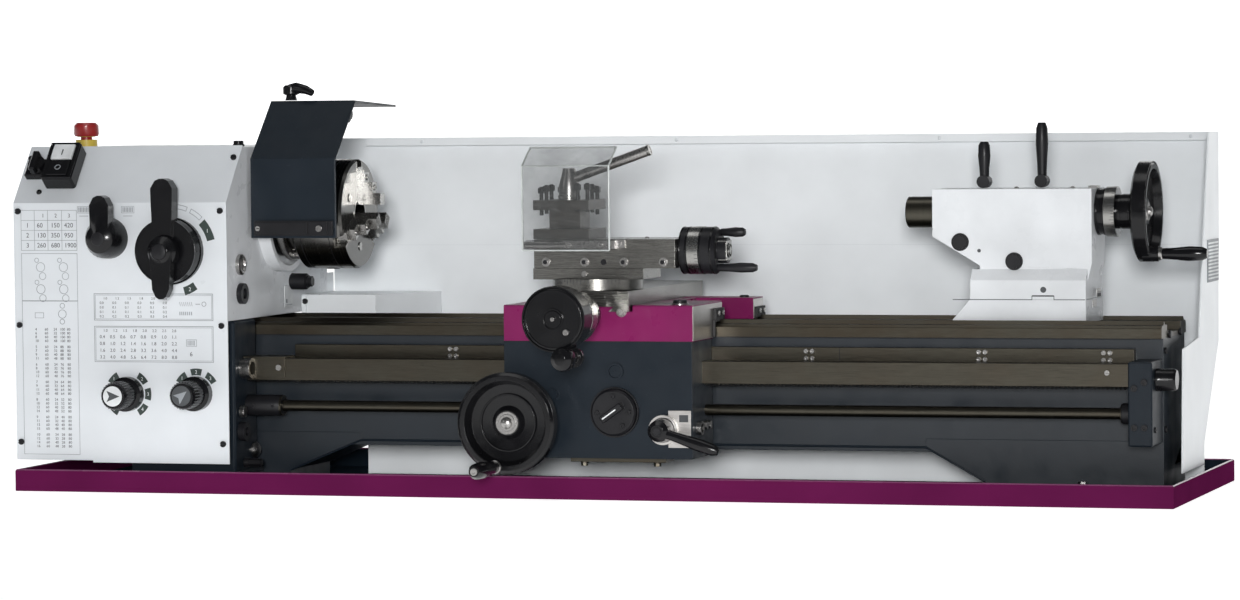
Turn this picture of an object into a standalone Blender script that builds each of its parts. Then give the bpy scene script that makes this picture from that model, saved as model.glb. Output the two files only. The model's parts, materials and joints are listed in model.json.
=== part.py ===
"""Bench lathe, modelled as separate pieces. Metres, +Z up, +X towards the tailstock, +Y away from the operator."""

import math

import bmesh
import bpy
from mathutils import Matrix, Vector

MM = 0.001
FIT = 0.3  # gap left between two pieces that touch in the real machine

# The spindle axis runs along X at y = 0 here; DEPTH_SHIFT then centres the footprint on the origin.
DEPTH_SHIFT = 66.5
AXIS_Z = 395.0
CENTRE_HEIGHT = 149.0
WAY_Z = AXIS_Z - CENTRE_HEIGHT

TRAY_LEFT, TRAY_RIGHT, TRAY_FRONT, TRAY_BACK = -851.0, 847.0, -228.0, 248.0
TRAY_HIGH, TRAY_WALL = 30.0, 4.0
FLOOR = TRAY_WALL + FIT

BED_LEFT, BED_RIGHT, BED_HALF, WEB_IN = -690.0, 806.0, 92.0, 60.0
HEAD_RIGHT, HEAD_LEFT, COVER_LEFT = -527.0, -690.0, -858.0
PANEL_Y, PANEL_FOLD_Z, PANEL_LOW, SHEET = -205.0, 417.0, 41.0, 2.5
HEAD_TOP, HEAD_BACK = 496.0, 204.0
SLOPE_Y, SLOPE_Z = 0.643, 0.766  # direction of the panel's leaning upper part
GUARD_Y = 240.0

ROD_Y, SCREW_Z, SCREW_R, FEED_Z, FEED_R = -126.0, 168.0, 13.0, 121.0, 8.0

CHUCK_R, CHUCK_LEFT, CHUCK_RIGHT = 80.0, -478.0, -398.0

CAR_LEFT, CAR_RIGHT, CAR_FRONT = -112.0, 165.0, -195.0
SADDLE_TOP, SADDLE_LOW = 271.0, 220.0
CROSS_X, CROSS_HALF, CROSS_FRONT, CROSS_BACK = 11.0, 65.0, -207.0, 165.0
CROSS_TOP, CROSS_SCREW_Z = 291.0, 258.5
TOP_Y = -141.0  # the compound stands this far in front of the spindle
POST_X = -30.0
TAIL_LEFT, TAIL_RIGHT = 473.0, 700.0
QUILL_TIP = 428.0
HINGE_X, HINGE_Y = COVER_LEFT + 8, HEAD_BACK + 2.5
MOTOR_AXIS, MOTOR_R = (0, 160, 150), 62.0
BELT_X = (-735.0, -717.0)
PULLEY_R = {"spindle": 62.0, "motor": 31.0}
GUARD_HINGE = (142.0, 540.0)
GUARD_X = (-520.0, -391.0)
SWITCH_X, SWITCH_AT = -789.0, 58.0
SLOPE_DEG = math.degrees(math.atan2(SLOPE_Y, SLOPE_Z))
DIRECTION = (-708.0, PANEL_Y - FIT, 366.0)
SPEED = (-609.0, PANEL_Y - FIT, 348.0)
FEED_KNOBS = {"left": (-681.5, PANEL_Y - FIT, 141.0), "right": (-575.5, PANEL_Y - FIT, 142.5)}
JAW_IN, JAW_HALF = 13.0, 9.0
BIG_WHEEL = (-91.0, 108.0)
SELECTOR, HALF_NUT = (51.0, 121.0), (122.5, 97.0)
SHIELD_HINGE = (-196.0, 355.0)
SLIDE_Z, POST_BASE_Z = 322.0, 363.0
TOP_SCREW_Z = 346.0


# ---------- shapes ----------


def keep(bm, name="shape"):
    mesh = bpy.data.meshes.new(name)
    bmesh.ops.recalc_face_normals(bm, faces=bm.faces)
    bm.to_mesh(mesh)
    bm.free()
    obj = bpy.data.objects.new(name, mesh)
    bpy.context.scene.collection.objects.link(obj)
    return obj


def prism(axis, outline, low, high):
    """An outline in the other two axes, in order, drawn out along the axis."""
    slots = {"x": (1, 2, 0), "y": (0, 2, 1), "z": (0, 1, 2)}[axis]
    bm = bmesh.new()
    rings = []
    for at in (low, high):
        ring = []
        for a, b in outline:
            co = [0.0, 0.0, 0.0]
            co[slots[0]], co[slots[1]], co[slots[2]] = a, b, at
            ring.append(bm.verts.new(co))
        rings.append(ring)
    count = len(outline)
    bm.faces.new(rings[0])
    bm.faces.new(rings[1][::-1])
    for i in range(count):
        j = (i + 1) % count
        bm.faces.new((rings[0][i], rings[1][i], rings[1][j], rings[0][j]))
    return keep(bm)


def block(x0, x1, y0, y1, z0, z1, bevel=0.0):
    shape = prism("x", [(y0, z0), (y1, z0), (y1, z1), (y0, z1)], x0, x1)
    return bevelled(shape, bevel) if bevel else shape


def bevelled(shape, width):
    bm = bmesh.new()
    bm.from_mesh(shape.data)
    bmesh.ops.bevel(bm, geom=bm.edges[:], offset=width, segments=1, affect="EDGES")
    bpy.data.objects.remove(shape)
    return keep(bm)


def turned(axis, centre, profile, sides=24):
    """A closed profile of (distance along, radius) turned about an axis line through the centre."""
    bm = bmesh.new()
    rings = []
    for along, radius in profile:
        if radius <= 0.0:
            rings.append([bm.verts.new((along, 0.0, 0.0))])
            continue
        turn = [2 * math.pi * (i + 0.5) / sides for i in range(sides)]
        rings.append([bm.verts.new((along, radius * math.cos(t), radius * math.sin(t))) for t in turn])
    closed = profile[0][1] > 0.0
    for k in range(len(rings) if closed else len(rings) - 1):
        here, there = rings[k], rings[(k + 1) % len(rings)]
        for i in range(sides):
            j = (i + 1) % sides
            if len(here) == 1:
                bm.faces.new((here[0], there[i], there[j]))
            elif len(there) == 1:
                bm.faces.new((here[i], here[j], there[0]))
            else:
                bm.faces.new((here[i], here[j], there[j], there[i]))
    shape = keep(bm)
    turn = {
        "x": Matrix.Identity(4),
        "y": Matrix.Rotation(math.radians(90), 4, "Z"),
        "z": Matrix.Rotation(math.radians(-90), 4, "Y"),
    }[axis]
    shape.data.transform(Matrix.Translation(centre) @ turn)
    return shape


def rod(axis, centre, low, high, radius, sides=24):
    return turned(axis, centre, [(low, 0), (low, radius), (high, radius), (high, 0)], sides)


def ring(axis, centre, low, high, outer, inner, sides=24):
    return turned(axis, centre, [(low, inner), (low, outer), (high, outer), (high, inner)], sides)


def tilted(shape, centre, axis, degrees):
    middle = Matrix.Translation(centre)
    shape.data.transform(middle @ Matrix.Rotation(math.radians(degrees), 4, axis) @ middle.inverted())
    return shape


def grip(axis, centre, start, length, radius, sides=16):
    """A waisted hand grip that starts at one distance along the axis and runs its signed length."""
    shares = [(0.0, 0.5), (0.06, 0.72), (0.3, 0.8), (0.62, 1.0), (0.9, 0.92), (1.0, 0.6)]
    profile = [(start + length * s, radius * r) for s, r in shares]
    return turned(axis, centre, [(profile[0][0], 0)] + profile + [(profile[-1][0], 0)], sides)


def solid(name, shapes, cuts=()):
    """Fuses the shapes, takes the cuts away and keeps one finished node."""
    base = shapes[0]
    for other, how in [(s, "UNION") for s in shapes[1:]] + [(c, "DIFFERENCE") for c in cuts]:
        step = base.modifiers.new("step", "BOOLEAN")
        step.solver, step.operation, step.object = "EXACT", how, other
    graph = bpy.context.evaluated_depsgraph_get()
    mesh = bpy.data.meshes.new_from_object(base.evaluated_get(graph))
    for shape in list(shapes) + list(cuts):
        bpy.data.objects.remove(shape)
    mesh.name = name
    mesh.transform(Matrix.Scale(MM, 4) @ Matrix.Translation((0, DEPTH_SHIFT, 0)))
    node = bpy.data.objects.new(name, mesh)
    bpy.context.scene.collection.objects.link(node)
    return node


def mirrored(outline):
    return [(-a, b) for a, b in reversed(outline)]


# ---------- base ----------


def drip_tray():
    w = TRAY_WALL
    outer = block(TRAY_LEFT, TRAY_RIGHT, TRAY_FRONT, TRAY_BACK, 0, TRAY_HIGH)
    inner = block(TRAY_LEFT + w, TRAY_RIGHT - w, TRAY_FRONT + w, TRAY_BACK - w, w, 99)
    solid("drip_tray", [outer], [inner])


def bed():
    way = [(-92, 222), (-92, 236), (-88, 240), (-78, 240), (-72, WAY_Z), (-66, 240), (-50, 240)]
    web = [(-50, 222), (-WEB_IN, 210), (-WEB_IN, 62), (-80, 62), (-80, 222)]
    rail = way + web
    shapes = [
        prism("x", rail, BED_LEFT, BED_RIGHT),
        prism("x", mirrored(rail), BED_LEFT, BED_RIGHT),
        block(BED_LEFT, BED_LEFT + 16, -70, 70, 50, 215),
        block(BED_RIGHT - 16, BED_RIGHT, -70, 70, 50, 228),
    ]
    left = [(BED_LEFT, FLOOR), (-480, FLOOR), (-480, 24), (-370, 69), (-370, 80), (BED_LEFT, 80)]
    right = [(BED_RIGHT, FLOOR), (555, FLOOR), (555, 21), (470, 68), (470, 80), (BED_RIGHT, 80)]
    shapes += [prism("y", foot, -80.5, 80.5) for foot in (left, right)]
    for i in range(6):
        at = -480 + 215 * i
        shapes.append(block(at - 8, at + 8, -65, 65, 70, 205))
    solid("bed", shapes)


def rack():
    solid("rack", [block(-466, 768, -94, -80 - 2 * FIT, 186, 208)])


def splash_guard():
    left, low_left, right, step = -526.0, -430.0, 828.0, 6.0
    y0, y1 = GUARD_Y, GUARD_Y - step
    upper = [(y0, 503), (y0, 341), (y1, 318), (y1, 204)]
    lower = [(y1, 206), (y1, 204), (112, 62), (112, FLOOR)]
    hem = [(y0, 503), (y0 - 14, 503), (y0 - 14, 491), (y0 - 14 + SHEET, 491), (y0 - 14 + SHEET, 500.5), (y0, 500.5)]
    side = [(y0, 503), (160, 503), (75, 216), (-46, 206), (-56, 34), (112, 34), (112, 62), (y1, 204)]
    side += [(y1, 318), (y0, 341)]
    shapes = [
        prism("x", upper + [(y - SHEET, z) for y, z in reversed(upper)], left, right),
        prism("x", lower + [(y - SHEET, z) for y, z in reversed(lower)], low_left, right),
        prism("x", hem, -470, right),
        prism("x", side, right - SHEET, right),
    ]
    solid("splash_guard", shapes)


# ---------- headstock ----------


def front_line(gap):
    """The three corners of the panel's face, from its foot up, moved in by a gap."""
    start_y, start_z = PANEL_Y + SLOPE_Z * gap, PANEL_FOLD_Z - SLOPE_Y * gap
    fold = (PANEL_Y + gap - start_y) / SLOPE_Y
    top = (HEAD_TOP + 2 - gap - start_z) / SLOPE_Z
    return [
        (PANEL_Y + gap, PANEL_LOW),
        (PANEL_Y + gap, start_z + SLOPE_Z * fold),
        (start_y + SLOPE_Y * top, start_z + SLOPE_Z * top),
    ]


def head_outline(low):
    foot, fold, top = front_line(SHEET + FIT)
    top_z = top[1]
    return [(foot[0], low), fold, top, (HEAD_BACK, top_z), (HEAD_BACK, low)]


def front_panel():
    outline = front_line(0) + front_line(SHEET)[::-1]
    step = block(COVER_LEFT - 1, -738, PANEL_Y - 1, PANEL_Y + 4, PANEL_LOW - 1, PANEL_LOW + 3)
    solid("front_panel", [prism("x", outline, COVER_LEFT, HEAD_RIGHT + 1)], [step])


def headstock():
    shell = prism("x", head_outline(WAY_Z + FIT), HEAD_LEFT, HEAD_RIGHT)
    ring_round = ring("x", (0, 0, AXIS_Z), HEAD_RIGHT - 5, HEAD_RIGHT + 19, 85, 76, 36)
    solid("headstock_casting", [shell, ring_round], [rod("x", (0, 0, AXIS_Z), HEAD_LEFT - 5, HEAD_RIGHT + 5, 47, 32)])
    solid("feed_gearbox", [block(HEAD_LEFT, HEAD_RIGHT, -178, -BED_HALF - FIT, 24, 245.7, 3)])


def gear_housing():
    x0, x1 = COVER_LEFT + 12, HEAD_LEFT - FIT
    shell = prism("x", head_outline(PANEL_LOW + 3), x0, x1)
    foot, fold, top = front_line(SHEET + FIT)
    w = 3
    room = [(foot[0] + w, PANEL_LOW + 6), (foot[0] + w, fold[1] - 1), (top[0] + 1.5, top[1] - w)]
    room += [(HEAD_BACK - w, top[1] - w), (HEAD_BACK - w, PANEL_LOW + 6)]
    cuts = [prism("x", room, x0 - 1, x1 - w), rod("x", (0, 0, AXIS_Z), x0, x1 + 1, 36, 32)]
    cuts.append(rod("x", MOTOR_AXIS, x0, x1 + 1, 14))
    solid("gear_housing", [shell], cuts)


def gear_cover():
    x0, x1 = COVER_LEFT, COVER_LEFT + 12 - FIT
    foot, fold, top = front_line(SHEET + FIT)
    w = 3
    room = [(foot[0] + w, PANEL_LOW + 6), (foot[0] + w, fold[1] - 1), (top[0] + 1.5, top[1] - w)]
    room += [(HEAD_BACK - w, top[1] - w), (HEAD_BACK - w, PANEL_LOW + 6)]
    knuckles = [rod("z", (HINGE_X, HINGE_Y, 0), z, z + 50, 4, 12) for z in (90, 400)]
    solid("gear_cover", [prism("x", head_outline(PANEL_LOW + 3), x0, x1)] + knuckles, [prism("x", room, x0 + w, x1 + 1)])




def rear_box():
    outline = [(HEAD_RIGHT + FIT, 94), (-410, 94), (-352, 226), (HEAD_RIGHT + FIT, 226)]
    solid("rear_box", [prism("z", outline, 210, 272)])


def motor():
    at = MOTOR_AXIS
    left, right = HEAD_LEFT + 12, HEAD_RIGHT - 2
    profile = [(left, 0), (left, 50), (left + 14, MOTOR_R), (right - 40, MOTOR_R), (right - 38, 54), (right, 54), (right, 0)]
    shapes = [turned("x", at, profile, 28), rod("x", at, BELT_X[0] - 12, left + 2, 9.5, 16)]
    shapes.append(block(left + 30, right - 60, 110, 205, FLOOR, 110))
    shapes.append(block(left + 50, right - 70, 190, 226, 130, 185, 3))
    solid("motor", shapes)


def pulleys_and_belt():
    x0, x1 = BELT_X
    big, small = (0, 0, AXIS_Z), MOTOR_AXIS
    for name, at, bore in (("spindle", big, 30 + FIT), ("motor", small, 9.5 + FIT)):
        r = PULLEY_R[name]
        profile = [(x0 - 5, bore), (x0 - 5, r + 6), (x0 - 1, r + 6), (x0, r), (x1, r), (x1 + 1, r + 6), (x1 + 5, r + 6), (x1 + 5, bore)]
        solid(f"{name}_pulley", [turned("x", at, profile, 32)])
    outline = {}
    for grow in (0.4, 6.0):
        points = []
        dy, dz = small[1] - big[1], small[2] - big[2]
        length = math.hypot(dy, dz)
        heading = math.atan2(dz, dy)
        lean = math.acos((PULLEY_R["spindle"] - PULLEY_R["motor"]) / length)
        for centre, r, start, turn in (
            (big, PULLEY_R["spindle"], heading + lean, 2 * math.pi - 2 * lean),
            (small, PULLEY_R["motor"], heading - lean, 2 * lean),
        ):
            reach = (r + grow) / math.cos(math.pi / 32)
            steps = 20
            for i in range(steps + 1):
                t = start + turn * i / steps
                points.append((centre[1] + reach * math.cos(t), centre[2] + reach * math.sin(t)))
        outline[grow] = points
    solid("drive_belt", [prism("x", outline[6.0], x0 + 1.5, x1 - 1.5)], [prism("x", outline[0.4], x0, x1)])


def guard_bracket():
    shapes = [
        block(-566, -530, 124, 160, HEAD_TOP + 2, 554, 2),
        rod("x", (0, GUARD_HINGE[0], GUARD_HINGE[1]), -540, -462, 8, 16),
    ]
    solid("guard_bracket", shapes)


def chuck_guard():
    x0, x1 = GUARD_X
    y, z = GUARD_HINGE
    outer = [(-123, 363), (-123, 478), (-37, 561), (y, 553)]
    inner = [(y, 550), (-36, 558), (-120, 476.6), (-120, 363)]
    web = [(-123, 363), (-123, 478), (-37, 561), (y - 14, 553.6), (y - 14, 543), (-30, 545), (-109, 470), (-109, 363)]
    shapes = [
        prism("x", outer + inner, x0, x1),
        prism("x", web, x0, x0 + 3),
        ring("x", (0, y, z), x0 + 4, -466, 13, 8 + FIT, 20),
    ]
    solid("chuck_guard", shapes)
    knob = [(0.6, 0), (0.6, 9), (8, 7), (10, 12), (20, 12), (23, 9), (23, 0)]
    centre = (-492, -28, 561)
    solid("guard_knob", [turned("z", centre, knob, 16)])


# ---------- controls ----------


def on_slope(along, out):
    """A point on the leaning part of the panel: distance up from the fold and out from the sheet."""
    return PANEL_Y + SLOPE_Y * along - SLOPE_Z * out, PANEL_FOLD_Z + SLOPE_Z * along + SLOPE_Y * out


def slope_box(x0, x1, low, high, near, far, bevel=0.0):
    outline = [on_slope(low, near), on_slope(high, near), on_slope(high, far), on_slope(low, far)]
    shape = prism("x", outline, x0, x1)
    return bevelled(shape, bevel) if bevel else shape




def switches():
    x = SWITCH_X
    frame = slope_box(x - 24, x + 24, SWITCH_AT - 34, SWITCH_AT + 34, FIT, 27, 3)
    wells = [slope_box(x - 17, x + 17, SWITCH_AT + a, SWITCH_AT + b, 15, 30) for a, b in ((1, 29), (-29, -1))]
    base = slope_box(x - 60, x - 22, SWITCH_AT - 16, SWITCH_AT + 16, FIT, 12, 2)
    solid("switch_housing", [frame, base], wells)
    for name, a, b in (("start_button", 1.6, 28.4), ("stop_button", -28.4, -1.6)):
        solid(name, [slope_box(x - 16.4, x + 16.4, SWITCH_AT + a, SWITCH_AT + b, 20.2, 29.4, 1)])
    y, z = on_slope(SWITCH_AT, 12 + FIT)
    dial = rod("y", (x - 41, y, z), 0, -9, 13, 20)
    bar = block(x - 46, x - 36, y - 20, y - 4, z - 19, z + 15, 2)
    solid("rotary_switch", [tilted(s, Vector((x - 41, y, z)), "X", -SLOPE_DEG) for s in (dial, bar)])
    at = (-795, -80, HEAD_TOP + 2)
    solid("estop_base", [ring("z", at, FIT - 2, 9, 16, 9, 20)])
    mushroom = [(1, 0), (1, 8.5), (14, 8.5), (14, 17), (18, 18.5), (30, 18), (34, 14), (34, 0)]
    solid("estop_button", [turned("z", at, mushroom, 24)])




def paddle(x, z, y0, y1, length, wide, narrow, up):
    """A flat lever seen from the front: it leaves the hub and ends in a rounded tip."""
    side = 1 if up else -1
    outline = [(x - narrow, z), (x - wide, z + side * (length - 14)), (x - wide * 0.6, z + side * (length - 3))]
    outline += [(x - wide * 0.2, z + side * length), (x + wide * 0.2, z + side * length)]
    outline += [(x + wide * 0.6, z + side * (length - 3)), (x + wide, z + side * (length - 14)), (x + narrow, z)]
    return prism("y", outline, y0, y1)


def dome_profile(radius, deep):
    return [(0, 0), (0, radius), (-deep * 0.5, radius * 0.94), (-deep * 0.85, radius * 0.7), (-deep, radius * 0.35), (-deep, 0)]




def levers():
    x, y, z = DIRECTION
    solid("direction_lever", [turned("y", DIRECTION, dome_profile(30, 42), 28), paddle(x, z, y - 16, y - 36, 62, 15, 13, True)])
    x, y, z = SPEED
    disc = turned("y", SPEED, [(0, 0), (0, 48), (-10, 48), (-30, 44), (-30, 0)], 36)
    solid("speed_lever", [disc, paddle(x - 2, z, y - 14, y - 36, 104, 17, 14, True)])
    inner = (x + 2, y - 30 - 6 - FIT, z)
    hub = turned("y", inner, [(0, 0), (0, 24), (-10, 22), (-20, 12), (-20, 0)], 24)
    solid("range_lever", [hub, paddle(inner[0], z, inner[1], inner[1] - 16, 68, 13, 17, False)])
    for side, at in FEED_KNOBS.items():
        profile = [(0, 0), (0, 25), (-14, 25), (-17, 20), (-54, 19), (-57, 17), (-57, 0)]
        solid(f"feed_knob_{side}", [turned("y", at, profile, 28)])


# ---------- spindle ----------


def spindle():
    bore = 19
    profile = [(-760, bore), (-760, 30), (-560, 30), (-560, 46), (-521, 46), (-521, 62), (-500, 62), (-500, bore)]
    solid("spindle", [turned("x", (0, 0, AXIS_Z), profile, 32)])




def jaw_turn(shape, number):
    return tilted(shape, Vector((0, 0, AXIS_Z)), "X", 120 * number)


def chuck():
    face = CHUCK_RIGHT
    bore = 21
    profile = [(-500 + FIT, bore), (-500 + FIT, 58), (CHUCK_LEFT, 58), (CHUCK_LEFT, 76), (CHUCK_LEFT + 4, CHUCK_R)]
    profile += [(face - 4, CHUCK_R), (face, CHUCK_R - 3), (face, bore)]
    slots = []
    for n in range(3):
        slot = block(face - 16, face + 5, -JAW_HALF - FIT, JAW_HALF + FIT, AXIS_Z, AXIS_Z + 99)
        slots.append(jaw_turn(slot, n))
    solid("chuck_body", [turned("x", (0, 0, AXIS_Z), profile, 48)], slots)
    base = face - 16 + FIT
    steps = [(base, JAW_IN), (face + 36, JAW_IN), (face + 36, 30), (face + 24, 30), (face + 24, 46), (face + 12, 46)]
    steps += [(face + 12, 60), (face + 2, 60), (face + 2, 68), (base, 68)]
    for n in range(3):
        jaw = prism("y", [(x, AXIS_Z + r) for x, r in steps], -JAW_HALF, JAW_HALF)
        solid(f"chuck_jaw_{n + 1}", [jaw_turn(jaw, n)])


# ---------- feed rods ----------


def rods():
    axis = (0, ROD_Y, SCREW_Z)
    left = HEAD_RIGHT + FIT
    profile = [(left, 0), (left, SCREW_R), (771, SCREW_R), (771, 10), (805.5, 10), (805.5, 15), (830, 15), (833, 12), (833, 0)]
    solid("leadscrew", [turned("x", axis, profile, 24)])
    axis = (0, ROD_Y, FEED_Z)
    profile = [(left, 0), (left, 15), (-472, 15), (-472, FEED_R), (757, FEED_R), (757, 14), (769, 14), (769, 7), (792, 7), (792, 0)]
    solid("feed_rod", [turned("x", axis, profile, 20)])


def leadscrew_cover():
    lift = SCREW_Z + SCREW_R
    front, back = ROD_Y - SCREW_R - 4.5, ROD_Y + SCREW_R + 4.5
    outline = [(front, 159), (front, lift + 9), (back, lift + 9), (back, 159), (back - 2.5, 159), (back - 2.5, lift + 6.5)]
    outline += [(front + 2.5, lift + 6.5), (front + 2.5, 159)]
    sleeve = [(front - 3, 163), (front - 3, lift + 12), (back + 2, lift + 12), (back + 2, 163), (back - 2, 163)]
    sleeve += [(back - 2, lift + 6.5), (front + 2, lift + 6.5), (front + 2, 163)]
    solid("leadscrew_cover", [prism("x", outline, -520, 770), prism("x", sleeve, HEAD_RIGHT + 2 * FIT, -462)])


def leadscrew_bracket():
    body = block(771.5, 805, -158, -80.5 - FIT, 78, 194, 2)
    cuts = [rod("x", (0, ROD_Y, SCREW_Z), 760, 820, 10 + FIT, 20), rod("x", (0, ROD_Y, FEED_Z), 760, 796, 7 + FIT, 20)]
    solid("leadscrew_bracket", [body], cuts)


# ---------- carriage ----------


def saddle():
    top, low = SADDLE_TOP, SADDLE_LOW
    over_way = [(-93, 237), (-88.4, 240.6), (-78.2, 240.6), (-72, WAY_Z + 0.7), (-65.8, 240.6)]
    front = [(CAR_FRONT, low), (CAR_FRONT, top - 2), (CAR_FRONT + 2, top), (-46, top), (-46, 240.6)]
    front += over_way[::-1] + [(-93, low)]
    rear = [(46, 240.6), (46, top), (98, top), (98, 225), (93, 225)] + mirrored(over_way)[::-1]
    shapes = [
        prism("x", front, CAR_LEFT, CAR_RIGHT),
        prism("x", rear, CAR_LEFT - 18, CAR_RIGHT + 21),
        block(CROSS_X - 90, CROSS_X + 90, -60, 60, 248, top - 0.5),
        rod("y", (CROSS_X, 0, CROSS_SCREW_Z), CROSS_FRONT - 21, CAR_FRONT + 3, 21, 24),
    ]
    half, x = CROSS_HALF + 2, CROSS_X
    notch = [(x - half, 300), (x - half, 262), (x - 34, 262), (x - 42, 269), (x + 42, 269), (x + 34, 262)]
    notch += [(x + half, 262), (x + half, 300)]
    solid("saddle", shapes, [prism("y", notch, -260, 150)])


def apron():
    low, top = 56, SADDLE_LOW - FIT
    outline = [(CAR_FRONT, low), (-90, low), (-90, 146), (-148, 146), (-148, 199), (-97, 199), (-97, top), (CAR_FRONT, top)]
    bore = rod("x", (0, ROD_Y, FEED_Z), -200, 200, FEED_R + 1, 20)
    solid("apron", [prism("x", outline, CAR_LEFT, CAR_RIGHT - 2)], [bore])
    face = CAR_FRONT - FIT
    x, z = BIG_WHEEL
    profile = [(face, 0), (face, 15), (-226, 15), (-230, 24), (-231, 52), (-233, 66), (-240, 71), (-254, 71)]
    profile += [(-258, 67), (-258, 60), (-243, 54), (-240, 24), (-248, 18), (-248, 0)]
    solid("carriage_handwheel", [turned("y", (x, 0, z), profile, 40)])
    solid("carriage_grip", [grip("y", (x - 15, 0, z - 61), -258 - FIT, -92, 12)])
    x, z = SELECTOR
    disc = turned("y", (x, 0, z), [(face, 0), (face, 33), (face - 8, 33), (face - 11, 30), (face - 11, 0)], 36)
    solid("feed_selector", [disc, tilted(block(x - 18, x + 18, face - 22, face - 9, z - 5, z + 5, 1), Vector((x, 0, z)), "Y", -35)])
    x, z = HALF_NUT
    hub = turned("y", (x, 0, z), [(face, 0), (face, 17), (-208, 17), (-226, 15), (-232, 9), (-232, 0)], 24)
    handle = grip("x", (x, -222, z), 6, 84, 9, 14)
    solid("half_nut_lever", [hub, tilted(handle, Vector((x, -222, z)), "Y", 18)])


def cross_slide():
    x, low, half = CROSS_X, 262 + FIT, CROSS_HALF
    outline = [(x - half, low), (x - half, CROSS_TOP), (x + half, CROSS_TOP), (x + half, low), (x + 35, low)]
    outline += [(x + 43, 269 + FIT), (x - 43, 269 + FIT), (x - 35, low)]
    solid("cross_slide", [prism("y", outline, CROSS_FRONT, CROSS_BACK)])
    at = (x, 0, CROSS_SCREW_Z)
    near = CROSS_FRONT - 21 - FIT
    profile = [(near, 0), (near, 30), (near - 34, 30), (near - 34, 38), (near - 60, 38), (near - 60, 34), (near - 84, 34)]
    profile += [(near - 84, 45), (-346, 45), (-350, 41), (-350, 0)]
    boss = rod("y", (x + 19, 0, CROSS_SCREW_Z - 54), -318, near - 84, 14, 16)
    solid("cross_handwheel", [turned("y", at, profile, 36), boss])
    ball = [(-318 - FIT, 0), (-318 - FIT, 8), (-345, 10), (-352, 15), (-364, 17.5), (-374, 15), (-380, 8), (-381, 0)]
    solid("cross_grip", [turned("y", (x + 19, 0, CROSS_SCREW_Z - 54), ball, 20)])


def compound():
    y, z = TOP_Y, SLIDE_Z
    base = [(y - 43, 306.5), (y - 43, z), (y - 22, z), (y - 28, z + 7), (y + 28, z + 7), (y + 22, z), (y + 42, z)]
    base.append((y + 42, 306.5))
    disc = rod("z", (CROSS_X, y, 0), CROSS_TOP + FIT, 307.5, 64, 40)
    solid("swivel_base", [disc, prism("x", base, CROSS_X - 82, CROSS_X + 80)])
    low = z + FIT
    outline = [(y - 45, low), (y - 45, POST_BASE_Z), (y + 44, POST_BASE_Z), (y + 44, low), (y + 23, low)]
    outline += [(y + 29, z + 7 + FIT), (y - 29, z + 7 + FIT), (y - 23, low)]
    stud = rod("z", (POST_X, y, 0), POST_BASE_Z - 3, 418, 9.5, 20)
    solid("top_slide", [prism("x", outline, -69, 138), stud])
    at = (0, y, TOP_SCREW_Z)
    profile = [(138 + FIT, 0), (138 + FIT, 33), (150, 33), (150, 30), (167, 30), (167, 33), (186, 33), (190, 29), (190, 18)]
    profile += [(203, 18), (203, 0)]
    handles = [grip("x", (0, y + 10, TOP_SCREW_Z + 25), 188, 37, 7, 14), grip("x", (0, y - 10, TOP_SCREW_Z - 24), 188, 59, 7, 14)]
    solid("top_slide_handwheel", [turned("x", at, profile, 36)] + handles)


def tool_post():
    y, half, z = TOP_Y, 41, POST_BASE_Z + FIT
    shapes = [
        block(POST_X - half, POST_X + half, y - half, y + half, z, z + 14),
        block(POST_X - 23, POST_X + 23, y - 23, y + 23, z + 10, z + 45),
        block(POST_X - half, POST_X + half, y - half, y + half, z + 40.5, z + 54.5),
    ]
    solid("tool_post", shapes, [rod("z", (POST_X, y, 0), z - 5, z + 70, 10, 20)])
    nut = [(418.6, 0), (418.6, 15), (438, 15), (452, 11), (462, 9), (462, 0)]
    start = Vector((POST_X, y, 446))
    tube = tilted(rod("x", (POST_X, y, 446), 4, 126, 7.5, 16), start, "Y", -19)
    solid("tool_post_lever", [turned("z", (POST_X, y, 0), nut, 20), tube])


def tool_shield():
    y, z = SHIELD_HINGE
    plate = block(-22, 54, y - 3, TOP_Y - 45 - FIT, z - 5, z + 6)
    solid("shield_hinge", [plate, rod("x", (0, y, z), -80, -18, 5, 16)])
    sheet = [(y - 9, z - 7), (y - 9, 467), (-165, 493), (-163, 490.5), (y - 6, 465.2), (y - 6, z - 7)]
    rings = [ring("x", (0, y, z), x, x + 14, 7.9, 5 + FIT, 16) for x in (-77, -41)]
    solid("tool_shield", [prism("x", sheet, -80, 48)] + rings)


# ---------- tailstock ----------


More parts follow.
